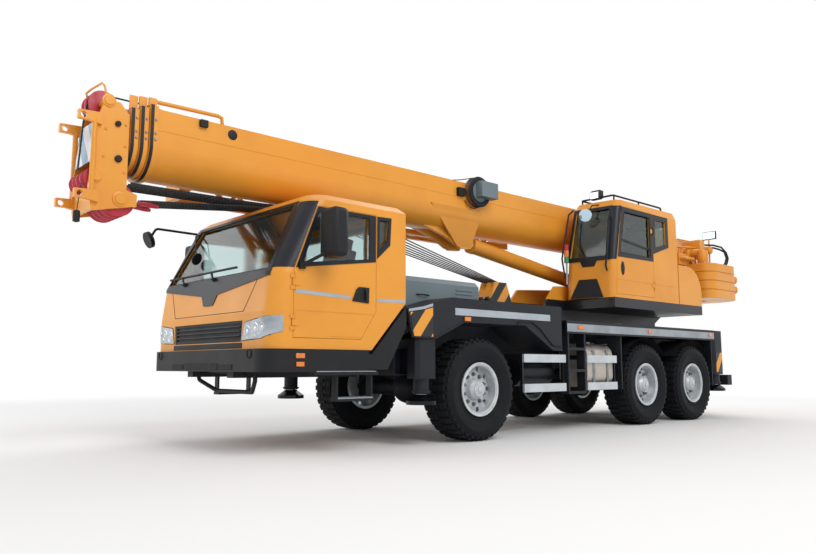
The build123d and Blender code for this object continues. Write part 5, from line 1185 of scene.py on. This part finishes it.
def operator_grips():
    """Hinge sleeve, door lock and grab bars of the operator's cab."""
    sleeve = [(0, 0), (0.023, 0), (0.023, 0.136), (0, 0.136)]
    place = at(-3.88, OPERATOR_SIDE, 2.792)
    turned_piece("upper_hinge_sleeve", UPPER, DARK, sleeve, place, (0, 0, 1), 20, 0.003)
    bm = bmesh.new()
    z, stretch = 2.225, 2.2
    lock = [(0, 0), (0.035, 0), (0.045, 0.006), (0.035, 0.012), (0, 0.008)]
    turned(bm, lock, at(-3.02, OPERATOR_SIDE, z), (0, 1, 0), 24)
    for vert in bm.verts:
        vert.co.z = z + (vert.co.z - z) * stretch
    piece("upper_door_lock", "upper_cab_door", PLASTIC, bm)
    bars = [[(1.1, 2.98, 0.02), (1.12, 2.94, 0.06), (1.13, 2.24, 0.07), (1.12, 2.18, 0.02)],
            [(0.5, 3.16, 0.01), (0.475, 3.08, 0.07), (0.465, 2.4, 0.09), (0.48, 2.12, 0.02)]]
    paths = [[operator_front(*spot) for spot in bar] for bar in bars]
    tube("upper_grab_bars", UPPER, PLASTIC, paths, 0.013)


def roof_gear():
    """The work lamp on the roof rail, the round mirror and the load lamp."""
    block_piece("roof_lamp_housing", UPPER, PLASTIC, at(-3.025, 0.76, 3.28), at(-2.94, 0.92, 3.4), 0.01)
    block_piece("roof_lamp_lens", UPPER, "metallised_lamp_bowl",
                at(-2.941, 0.772, 3.292), at(-2.934, 0.908, 3.388), 0.003)
    disc = operator_front(0.8, 3.02, 0.14)
    shell = [(0, -0.03), (0.085, -0.02), (0.095, 0), (0.09, 0.006), (0, 0.012)]
    turned_piece("round_mirror", UPPER, MIRROR, shell, disc, (1, 0.45, -0.2), 40)
    arm = [operator_front(0.9, 3.19, 0.0), operator_front(0.86, 3.17, 0.1), disc]
    tube("round_mirror_arm", UPPER, PLASTIC, [arm], 0.009)
    foot = operator_front(0.52, 2.02, 0.03)
    for finish, low in (("green_acrylic", 0.32), (AMBER, 0.41), ("red_acrylic", 0.5)):
        lamp = [(0, low), (0.036, low), (0.036, low + 0.085), (0, low + 0.085)]
        turned_piece(f"load_lamp_{finish}", UPPER, finish, lamp, foot, (0, 0, 1), 28)
    tube("load_lamp_post", UPPER, "anodised_aluminium", [[foot, foot + Vector((0, 0, 0.33))]], 0.014)


def winch_gear():
    """Louvres of the right cover, hoses of the cylinder and winches, winch pipes and the winch mirror."""
    bm = bmesh.new()
    for row in range(3):
        z = 1.84 + row * 0.05
        block(bm, at(-5.2, -OPERATOR_SIDE - 0.01, z), at(-4.5, -OPERATOR_SIDE, z + 0.022))
    piece("right_cover_louvres", UPPER, PLASTIC, bm, 0.003)
    hoses = []
    for count in range(5):
        y = -0.22 + count * 0.11
        hoses.append(bowed(at(-5.05, y, 1.6), at(-4.7, y * 0.5, 2.12), (0.1, 0, -0.06)))
    tube("cylinder_hoses", UPPER, HOSE, hoses, 0.014)
    pipes = []
    for count in range(3):
        y, z = 0.42 + count * 0.07, 2.78 + count * 0.07
        pipes.append([at(-5.6, y, 2.42), at(-5.66, y, z - 0.06), at(-5.74, y, z),
                      at(-6.5, y + 0.02, z + 0.06), at(-6.62, y + 0.02, z), at(-6.64, y + 0.02, 2.64)])
    tube("winch_pipes", UPPER, ORANGE, pipes, 0.018)
    hoses = []
    for out, drop in ((0.0, 0.0), (0.07, 0.05)):
        hoses.append([at(-6.8, 0.58, 3.06 - drop), at(-6.96, 0.7, 3.06 - drop),
                      at(-7.06 + out, 0.8, 3.02 - drop), at(-7.12 + out, 0.86, 2.92),
                      at(-7.1 + out, 0.9, 2.8), at(-7.0 + out, 0.92, 2.7), at(-6.9 + out, 0.92, 2.63)])
    tube("winch_hoses", UPPER, HOSE, hoses, 0.016)
    valve_block()
    winch_ends()
    tube("winch_mirror_post", UPPER, ORANGE, [[at(-6.92, 0.64, 2.62), at(-6.92, 0.64, 3.18)]], 0.014)
    block_piece("winch_mirror_casing", UPPER, DARK, at(-6.945, 0.52, 3.165), at(-6.91, 0.78, 3.315), 0.01)
    block_piece("winch_mirror", UPPER, MIRROR, at(-6.915, 0.533, 3.178), at(-6.903, 0.767, 3.302), 0.003)


def winch_ends():
    """Gear housings and motors at the left end of both winches."""
    bm = bmesh.new()
    profile = [(0, 0), (1, 0), (1, 0.06), (0.8, 0.09), (0.78, 0.15), (0.5, 0.17), (0.48, 0.3), (0.3, 0.32)]
    profile.append((0, 0.32))
    for x, z, radius in WINCHES:
        start = at(x, 0.405, z)
        turned(bm, scaled(profile, radius), start, (0, 1, 0), 40)
        for a in round_angles(10):
            spoke = Vector((math.cos(a) * radius * 0.9, 0.06, math.sin(a) * radius * 0.9))
            nut(bm, start + spoke, (0, 1, 0), 0.012, 0.014)
    block(bm, at(-6.7, 0.42, 2.86), at(-6.52, 0.66, 3.12))
    piece("winch_ends", UPPER, ORANGE, bm, 0.004)


def valve_block():
    """The hydraulic valve block beside the winches, with its spools, caps and cross pipes."""
    bm = bmesh.new()
    block(bm, at(-6.08, 0.368, 2.6), at(-5.74, 0.66, 2.8))
    for count in range(4):
        x = -6.04 + count * 0.085
        turned(bm, stud(0.03, 0.1, 0.022, 0.12), at(x, 0.66, 2.7), (0, 1, 0), 20)
        turned(bm, stud(0.024, 0.07, 0.016, 0.08), at(x, 0.55, 2.8), (0, 0, 1), 18)
    bottle = [(0, 0), (0.085, 0), (0.095, 0.02), (0.095, 0.24), (0.08, 0.27), (0, 0.27)]
    turned(bm, bottle, at(-6.36, 0.78, 2.62), (0, 0, 1), 32)
    piece("valve_block", UPPER, ORANGE, bm, 0.004)
    pipes = []
    for count in range(4):
        x = -6.04 + count * 0.085
        rise = 0.03 * count
        pipes.append([at(x, 0.55, 2.87), at(x - 0.01, 0.55, 2.95 + rise), at(x - 0.06, 0.5, 3.0 + rise),
                      at(-6.46, 0.47, 3.02 + rise), at(-6.56, 0.44, 2.96)])
    tube("valve_pipes", UPPER, ORANGE, pipes, 0.015)


class CRANE_OT_upper_trim(bpy.types.Operator):
    """Adds the surrounds, mirrors, lamps, grips and linings of the operator's cab, and the winch gear"""
    bl_idname = "crane.upper_trim"
    bl_label = "Upper works trim"

    def execute(self, context):
        thick = sizes().seal
        wall = OPERATOR_SIDE + 0.001
        glass = [(-2.97, 2.45), (-3.105, 3.062), (-3.792, 3.062), (-3.792, 2.45)]
        outer = [(-2.905, 2.385), (-3.045, 3.128), (-3.872, 3.128), (-3.872, 2.4)]
        loops = [side_points(loop, wall) for loop in (outer, glass)]
        window_frame("upper_door_surround", "upper_cab_door", *loops, (0, thick, 0))
        tube("upper_door_seal", "upper_cab_door", HOSE, [side_points(glass, OPERATOR_SIDE)], 0.009, True)
        sash = [(-2.99, 2.64), (-3.79, 2.56), (-3.79, 2.59), (-2.985, 2.67)]
        wall_plates("upper_door_sash", "upper_cab_door", DARK, [sash], OPERATOR_SIDE - 0.02, 1, 0.008)
        pane = [(-3.945, 2.61), (-3.945, 3.055), (-4.265, 3.055), (-4.265, 2.705)]
        ring = [(-3.886, 2.52), (-3.886, 3.128), (-4.335, 3.128), (-4.335, 2.66)]
        loops = [side_points(loop, wall) for loop in (ring, pane)]
        window_frame("upper_rear_surround", UPPER, *loops, (0, thick, 0))
        lines = (("upper_door_line", "upper_cab_door", -3.865, -2.875),
                 ("upper_side_line", UPPER, -4.59, -3.895))
        for name, body, rear, front in lines:
            line = rectangle(rear, front, 2.056, 2.064)
            wall_plates(name, body, ORANGE, [line], OPERATOR_SIDE, 1, 0.004, 0.002)
        operator_face()
        corner_sheet()
        operator_linings()
        operator_grips()
        roof_gear()
        winch_gear()
        return {"FINISHED"}


def weight_slabs(low, high):
    """Four cast slabs with rounded corners, stacked round the pocket that holds the winches."""
    bm = bmesh.new()
    layers, gap = 4, 0.014
    pitch = (high.z - low.z) / layers
    for layer in range(layers):
        base = low.z + layer * pitch
        weight_slab(bm, low, high, 0.0, base + gap / 2, base + pitch - gap / 2)
    weight_slab(bm, low, high, 0.016, low.z + gap, high.z - gap)
    made = piece("weight_slabs", UPPER, ORANGE, bm, 0.006)
    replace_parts(made, "counterweight")


def weight_slab(bm, low, high, inset, z0, z1):
    """One slab, open at the front round the pocket."""
    rear, front, half = low.x + inset, high.x - inset, high.y - inset
    pocket_rear, pocket_half = AXLE_X - 6.75 - inset, 0.65 + inset
    left = [(pocket_rear, pocket_half), (front, pocket_half)]
    for corner_x, radius, first, last in ((front, 0.22 - inset, 0, 90), (rear, 0.42 - inset, 90, 180)):
        middle_x = corner_x - radius if corner_x == front else corner_x + radius
        for step in range(11):
            a = math.radians(first + (last - first) * step / 10)
            left.append((middle_x + radius * math.cos(a), half - radius + radius * math.sin(a)))
    loop = left + [(x, -y) for x, y in reversed(left)]
    prism(bm, [(x, y, z0) for x, y in loop], (0, 0, z1 - z0))


class CRANE_OT_weight_trim(bpy.types.Operator):
    """Makes the slabs and lugs of the counterweight and the rope wound on the winch drums"""
    bl_idname = "crane.weight_trim"
    bl_label = "Counterweight trim"

    def execute(self, context):
        low, high = WEIGHT_BOX
        weight_slabs(low, high)
        bm = bmesh.new()
        for side in (1, -1):
            rear = Vector((low.x + 0.123, side * (high.y - 0.123), 0))
            out = Vector((-1, side, 0)).normalized()
            for z in (low.z + 0.39, low.z + 0.21):
                lug = [(0, -0.05), (0.07, -0.05), (0.07, 0.04), (0.056, 0.056), (0, 0.058)]
                turned(bm, lug, rear + Vector((0, 0, z)), out, 28)
            for x in (0.28, 0.98):
                centre = Vector((low.x + x, side * (high.y - 0.2), high.z))
                eye = [(0.05, -0.016), (0.05, 0.016), (0.026, 0.016), (0.026, -0.016), (0.05, -0.016)]
                turned(bm, eye, centre, (0, 1, 0), 28)
        piece("weight_lugs", UPPER, ORANGE, bm, 0.002)
        bm = bmesh.new()
        turns, thick = 22, 0.011
        for station, z, radius in WINCHES:
            for turn in range(turns):
                y = -0.245 + turn * 0.49 / (turns - 1)
                ring = [(radius + 0.02 + thick * math.cos(a), thick * math.sin(a)) for a in round_angles(6)]
                turned(bm, ring + ring[:1], at(station, y, z), (0, 1, 0), 40)
        piece("drum_ropes", UPPER, ROPE, bm)
        return {"FINISHED"}


BOOM_PARTS = ("boom", "boom_part_2", "boom_part_3", "boom_part_4")
# Step from one boom section's wall to the next one's
NESTING = 0.028
# Stations of the collars' fronts, the reel's place, and the top sheave's station and height
COLLAR_FRONTS = (3.54, 3.62, 3.7)
REEL = (-0.93, 0.3, 3.15)
TOP_SHEAVE = (3.905, 3.25)


def boom_loop(x, level, grow):
    """Points round the boom's section at a nesting level: square at the top, round at the belly."""
    inset = level * NESTING - grow
    half, low, high, belly = 0.3 - inset, 2.62 + inset, 3.26 - inset, 0.28 - inset
    points = [at(x, half, high)]
    for middle, first in ((half - belly, 0), (belly - half, -90)):
        for step in range(13):
            a = math.radians(first - 7.5 * step)
            points.append(at(x, middle + belly * math.cos(a), low + belly + belly * math.sin(a)))
    return points + [at(x, -half, high)]


def boom_collars():
    """Dark bands painted at the section mouths as the shade in the gaps between sections, and the bolts of
    their guide pads.
    """
    for level, front in enumerate(COLLAR_FRONTS):
        bm = bmesh.new()
        wide = 0.032
        # A dark strip on each collar's front, painted shade where the gap to the next section falls in
        # shadow
        loops = [boom_loop(front - wide, level, grow) for grow in (0.0265, 0.0215)]
        surround(bm, *loops, (wide, 0, 0))
        piece(f"collar_shade_band_{level + 1}", BOOM_PARTS[level], DARK, bm, 0.001)
        bm = bmesh.new()
        wall = 0.322 - NESTING * level
        for side in (1, -1):
            for z in (2.95, 3.01, 3.14):
                nut(bm, at(front - 0.053, side * wall, z), (0, side, 0), *BOLT)
        piece(f"collar_bolts_{level + 1}", BOOM_PARTS[level], "ground_steel", bm)


def cable_reel():
    """The cable reel on the boom's left wall: flanges, winding, motor box and cable."""
    centre = at(*REEL)
    bm = bmesh.new()
    rim = [(0, 0.086), (0.2, 0.086), (0.206, 0.091), (0.2, 0.098), (0.15, 0.094), (0.07, 0.1),
           (0.05, 0.114), (0, 0.114)]
    turned(bm, rim, centre, (0, 1, 0), 56)
    turned(bm, [(0.2, 0.0), (0.206, 0.006), (0.2, 0.012), (0.17, 0.014)], centre, (0, 1, 0), 56)
    block(bm, at(-1.168, 0.384, 3.062), at(-0.852, 0.514, 3.274))
    piece("cable_reel_flanges", "boom", "satin_hood_enamel", bm, 0.004)
    bm = bmesh.new()
    for turn in range(5):
        along = 0.016 + turn * 0.014
        turned(bm, [(0.199, along), (0.205, along + 0.006), (0.199, along + 0.012)], centre, (0, 1, 0), 56)
    ring = [(0.14, 0.09), (0.14, 0.104), (0.196, 0.104), (0.206, 0.098), (0.206, 0.088)]
    turned(bm, ring, centre, (0, 1, 0), 56)
    block(bm, at(-0.7, 0.298, 3.06), at(-0.58, 0.35, 3.17))
    piece("cable_reel_winding", "boom", PLASTIC, bm, 0.002)
    cable = [at(-0.88, 0.33, 3.345), at(-0.7, 0.27, 3.3), at(-0.45, 0.14, 3.272), at(3.45, 0.14, 3.272)]
    loop = bowed(at(-0.95, 0.36, 2.955), at(-0.72, 0.315, 3.02), (0.02, 0, -0.06), 10)
    tube("reel_cable", "boom", HOSE, [cable, loop], 0.006)


def boom_head():
    """Pin caps, front panel, rope guards, side fittings and the limit weight of the boom head."""
    bm = bmesh.new()
    cap = [(0, 0), (1, 0), (1, 0.008), (0.72, 0.012), (0.68, 0.022), (0, 0.022)]
    for x, z, radius in ((3.905, 3.25, 0.062), (3.765, 2.35, 0.07), (3.985, 2.52, 0.052)):
        for side in (1, -1):
            turned(bm, scaled(cap, radius), at(x, side * 0.25, z), (0, side, 0), 28)
    for side in (1, -1):
        for x, z in ((3.74, 2.6), (3.74, 2.85), (3.74, 3.05), (3.93, 2.72), (3.92, 2.98)):
            nut(bm, at(x, side * 0.25, z), (0, side, 0), *BOLT)
    piece("head_pin_caps", "boom_part_4", ORANGE, bm)
    panel = [at(4.03, -0.205, 2.66), at(4.03, 0.205, 2.66), at(3.992, 0.205, 3.06), at(3.992, -0.205, 3.06)]
    prism_piece("head_front_panel", "boom_part_4", "blue_white_sheeting", panel, (0.006, 0, 0), 0.002)
    guards = []
    for side in (1, -1):
        guard = ((3.916, 0.256, 3.25), (3.95, 0.235, 3.385), (3.961, 0.2, 3.415), (4.01, 0.08, 3.38))
        guards.append([at(x, side * y, z) for x, y, z in guard] + [at(4.026, 0, 3.362)])
    tube("head_rope_guards", "boom_part_4", ORANGE, guards, 0.01)
    bm = bmesh.new()
    for x, z, radius in ((3.816, 3.046, 0.026), (3.8, 2.718, 0.032)):
        turned(bm, stud(radius, 0.02, radius * 0.8, 0.026), at(x, 0.25, z), (0, 1, 0), 24)
    weight = [(0, 0), (0.018, 0.006), (0.03, 0.01), (0.03, 0.1), (0.022, 0.11), (0, 0.112)]
    turned(bm, weight, at(4.13, 0.235, 2.085), (0, 0, 1), 24)
    piece("head_fittings", "boom_part_4", PLASTIC, bm)
    tube("limit_weight_wire", "boom_part_4", ROPE, [[at(4.13, 0.235, 2.19), at(4.11, 0.25, 2.44)]], 0.004)


class CRANE_OT_boom_trim(bpy.types.Operator):
    """Adds weld lines, dark bands of painted shade at the collars, the top guard bar, the cable reel and
    the head's fittings
    """
    bl_idname = "crane.boom_trim"
    bl_label = "Boom trim"

    def execute(self, context):
        welds = []
        for side in (1, -1):
            welds.append([at(-5.8, side * 0.3005, 3.055), at(3.455, side * 0.3005, 3.055)])
            welds.append([at(-5.8, side * 0.283, 3.2605), at(3.455, side * 0.283, 3.2605)])
        tube("boom_welds", "boom", ORANGE, welds, 0.0035)
        guard = [at(3.44, 0.2, 3.362), at(2.8, 0.2, 3.375), at(2.755, 0.2, 3.362), at(2.74, 0.2, 3.258)]
        tube("boom_top_guard", "boom", ORANGE, [guard], 0.02)
        bm = bmesh.new()
        block(bm, at(2.965, 0.3, 3.18), at(3.045, 0.34, 3.252))
        disc = [(0, 0), (0.05, 0), (0.054, 0.003), (0.044, 0.008), (0, 0.008)]
        turned(bm, disc, at(2.68, 0.3, 3.175), (0, 1, 0), 32)
        piece("boom_side_boxes", "boom", PLASTIC, bm, 0.003)
        boom_collars()
        cable_reel()
        boom_head()
        return {"FINISHED"}


def reeving(radius):
    """The ropes gathered under the boom, then fanned down to the stowed hook block."""
    gathered = []
    lanes = [-0.16 + count * 0.064 for count in range(6)]
    for y in lanes:
        guide = at(1.25, y * 0.8 + 0.05, 2.575)
        gathered.append([at(3.54, y, 2.38), at(2.405, y * 0.9, 2.5), guide])
        gathered.append([at(3.64, y, 2.535), at(2.41, y * 0.9, 2.548), guide])
    tube("reeved_ropes_at_head", "boom_part_4", ROPE, gathered, radius)
    fan = []
    for count in range(7):
        share = count / 6
        fan.append([at(1.25, -0.3 + 0.65 * share, 2.572), at(-1.36, 0.2 + 0.2 * share, 1.93)])
    tube("reeved_ropes_to_hook", "boom", ROPE, fan, radius * 0.9)
    bm = bmesh.new()
    for y in (lanes[1], lanes[4]):
        socket = [(0, 0), (0.016, 0), (0.024, 0.05), (0.026, 0.16), (0.02, 0.2), (0, 0.2)]
        turned(bm, socket, at(3.34, y, 2.359), (1, 0, 0.106), 20)
    piece("rope_sockets", "boom_part_4", "red_sheave_enamel", bm)


def rope_span(name, start, end, radius):
    """A straight length of rope from one point to another."""
    bm = bmesh.new()
    length = (end - start).length
    turned(bm, [(0, 0), (radius, 0), (radius, length), (0, length)], start, end - start, 12)
    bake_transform(form(name, ROPE, bm))


class CRANE_OT_ropes(bpy.types.Operator):
    """Adds the hoist ropes along the boom, over its head and down to the hook block"""
    bl_idname = "crane.ropes"
    bl_label = "Ropes"

    def execute(self, context):
        radius = sizes().rope
        y, z = 0.02, 3.372
        start, end = at(-5.8, -0.16, 3.3), at(3.5, y, z)
        tube("hoist_rope_on_boom", "boom", ROPE, [[start, at(2.4, 0.0, 3.285), end]], radius)
        rope_span("hoist_rope_to_boom", at(-6.37, -0.18, 3.045), start, radius)
        stations = [3.5, 3.58, 3.66, 3.75]
        for index in range(3):
            rope_span(f"hoist_rope_over_part_{index + 2}",
                      at(stations[index], y, z), at(stations[index + 1], y, z), radius)
        groove = 0.118
        over = [at(stations[-1], y, z)]
        for step in range(9):
            a = math.radians(100 - step * 13)
            over.append(at(TOP_SHEAVE[0] + groove * math.cos(a), y, TOP_SHEAVE[1] + groove * math.sin(a)))
        over += [at(4.05, y, 3.06), at(4.075, y, 2.62)]
        tube("hoist_rope_at_head", "boom_part_4", ROPE, [over], radius)
        reeving(radius)
        return {"FINISHED"}


# Stage

# Places by station, y and height; angles in degrees, the lens in mm, each light's power in watts
CAMERA_PLACE = (6.158, 6.867, 0.831)
CAMERA_YAW = -131.85
CAMERA_PITCH = 6.99
CAMERA_LENS = 32.17
WORLD_LIGHT = 0.57
LIGHT_AIM = (-0.5, 0, 1.4)
LIGHT_SIZE = 8.0
LIGHTS = (("key_light", (2.0, 13.0, 12.0), 1180), ("fill_light", (9.0, -6.0, 6.0), 340),
          ("back_light", (-11.0, -4.0, 9.0), 530))
# Distances over which the floor fades to white, and half its width
FLOOR_FADE = {1: 6.0, 2: 14.0}
FLOOR_HALF = 60.0


def add_camera(scene):
    """The camera, low beside the front left corner."""
    lens = bpy.data.cameras.new("camera")
    lens.lens = CAMERA_LENS
    lens.sensor_width = 36.0
    lens.clip_end = 500.0
    camera = scene_object("camera", lens)
    yaw, pitch = math.radians(CAMERA_YAW), math.radians(CAMERA_PITCH)
    look = Vector((math.cos(yaw) * math.cos(pitch), math.sin(yaw) * math.cos(pitch), math.sin(pitch)))
    camera.location = at(*CAMERA_PLACE)
    camera.rotation_euler = look.to_track_quat("-Z", "Y").to_euler()
    scene.camera = camera


def add_world(scene):
    """A white backdrop that lights the scene more softly than it shows."""
    world = bpy.data.worlds.new("pale_studio")
    tree = new_tree(world)
    path = add_node(tree, "ShaderNodeLightPath")
    most = {"operation": "MAXIMUM"}
    through = {0: path.outputs["Is Camera Ray"], 1: path.outputs["Is Transmission Ray"]}
    shown = add_node(tree, "ShaderNodeMath", most, through)
    seen = add_node(tree, "ShaderNodeMath", most, {0: shown.outputs[0], 1: path.outputs["Is Glossy Ray"]})
    light = add_node(tree, "ShaderNodeBackground", {"Color": linear("#FFFFFF"), "Strength": WORLD_LIGHT})
    backdrop = add_node(tree, "ShaderNodeBackground", {"Color": linear("#FFFFFF"), "Strength": 1.0})
    both = add_node(tree, "ShaderNodeMixShader",
                    links={0: seen.outputs[0], 1: light.outputs[0], 2: backdrop.outputs[0]})
    add_node(tree, "ShaderNodeOutputWorld", links={0: both.outputs[0]})
    scene.world = world


def add_lights():
    """Three square area lights."""
    for name, place, power in LIGHTS:
        lamp = bpy.data.lights.new(name, "AREA")
        lamp.size = LIGHT_SIZE
        lamp.energy = power
        made = scene_object(name, lamp)
        made.location = at(*place)
        made.rotation_euler = (at(*LIGHT_AIM) - made.location).to_track_quat("-Z", "Y").to_euler()


def add_floor():
    """A pale floor that fades to white."""
    material = bpy.data.materials.new("pale_floor")
    tree = new_tree(material)
    place = add_node(tree, "ShaderNodeTexCoord").outputs["Object"]
    reach = add_node(tree, "ShaderNodeVectorMath", {"operation": "LENGTH"}, {0: place})
    far = add_node(tree, "ShaderNodeMapRange", FLOOR_FADE, {0: reach.outputs["Value"]})
    pale = add_node(tree, "ShaderNodeBsdfDiffuse", {"Color": linear("#F4F4F4")})
    white = add_node(tree, "ShaderNodeEmission", {"Color": linear("#FFFFFF"), "Strength": 1.0})
    both = add_node(tree, "ShaderNodeMixShader",
                    links={0: far.outputs[0], 1: pale.outputs[0], 2: white.outputs[0]})
    add_node(tree, "ShaderNodeOutputMaterial", links={0: both.outputs[0]})
    bm = bmesh.new()
    bmesh.ops.create_grid(bm, x_segments=1, y_segments=1, size=FLOOR_HALF)
    mesh = bpy.data.meshes.new("floor")
    bm.to_mesh(mesh)
    bm.free()
    mesh.materials.append(material)
    floor = scene_object("floor", mesh)


class CRANE_OT_stage(bpy.types.Operator):
    """Sets the camera, the soft lights, the pale world and the floor"""
    bl_idname = "crane.stage"
    bl_label = "Stage"

    def execute(self, context):
        scene = context.scene
        scene.view_settings.view_transform = "Standard"
        add_camera(scene)
        add_world(scene)
        add_lights()
        add_floor()
        return {"FINISHED"}


class CRANE_PT_panel(bpy.types.Panel):
    """Lists the steps that dress the crane"""
    bl_label = "Mobile crane"
    bl_idname = "CRANE_PT_panel"
    bl_space_type = "VIEW_3D"
    bl_region_type = "UI"
    bl_category = "Crane"

    def draw(self, context):
        for step in STEPS:
            self.layout.operator(step.bl_idname)
        for group in (context.scene.crane_colours, context.scene.crane_sizes):
            for name in group.bl_rna.properties.keys():
                if name not in ("rna_type", "name"):
                    self.layout.prop(group, name)


STEPS = (CRANE_OT_finishes, CRANE_OT_tyres, CRANE_OT_wheels, CRANE_OT_cab_windows, CRANE_OT_cab_trim,
         CRANE_OT_cab_inside, CRANE_OT_chassis_trim, CRANE_OT_outrigger_trim, CRANE_OT_upper_trim,
         CRANE_OT_weight_trim, CRANE_OT_boom_trim, CRANE_OT_ropes, CRANE_OT_stage)
CLASSES = (CraneColours, CraneSizes, *STEPS, CRANE_PT_panel)


def register():
    for made in CLASSES:
        bpy.utils.register_class(made)
    bpy.types.Scene.crane_colours = bpy.props.PointerProperty(type=CraneColours)
    bpy.types.Scene.crane_sizes = bpy.props.PointerProperty(type=CraneSizes)


def unregister():
    del bpy.types.Scene.crane_sizes
    del bpy.types.Scene.crane_colours
    for made in reversed(CLASSES):
        bpy.utils.unregister_class(made)


def main():
    register()
    bpy.ops.crane.finishes()
    bpy.ops.crane.tyres()
    bpy.ops.crane.wheels()
    bpy.ops.crane.cab_windows()
    bpy.ops.crane.cab_trim()
    bpy.ops.crane.cab_inside()
    bpy.ops.crane.chassis_trim()
    bpy.ops.crane.outrigger_trim()
    bpy.ops.crane.upper_trim()
    bpy.ops.crane.weight_trim()
    bpy.ops.crane.boom_trim()
    bpy.ops.crane.ropes()
    bpy.ops.crane.stage()


if __name__ == "__main__":
    main()
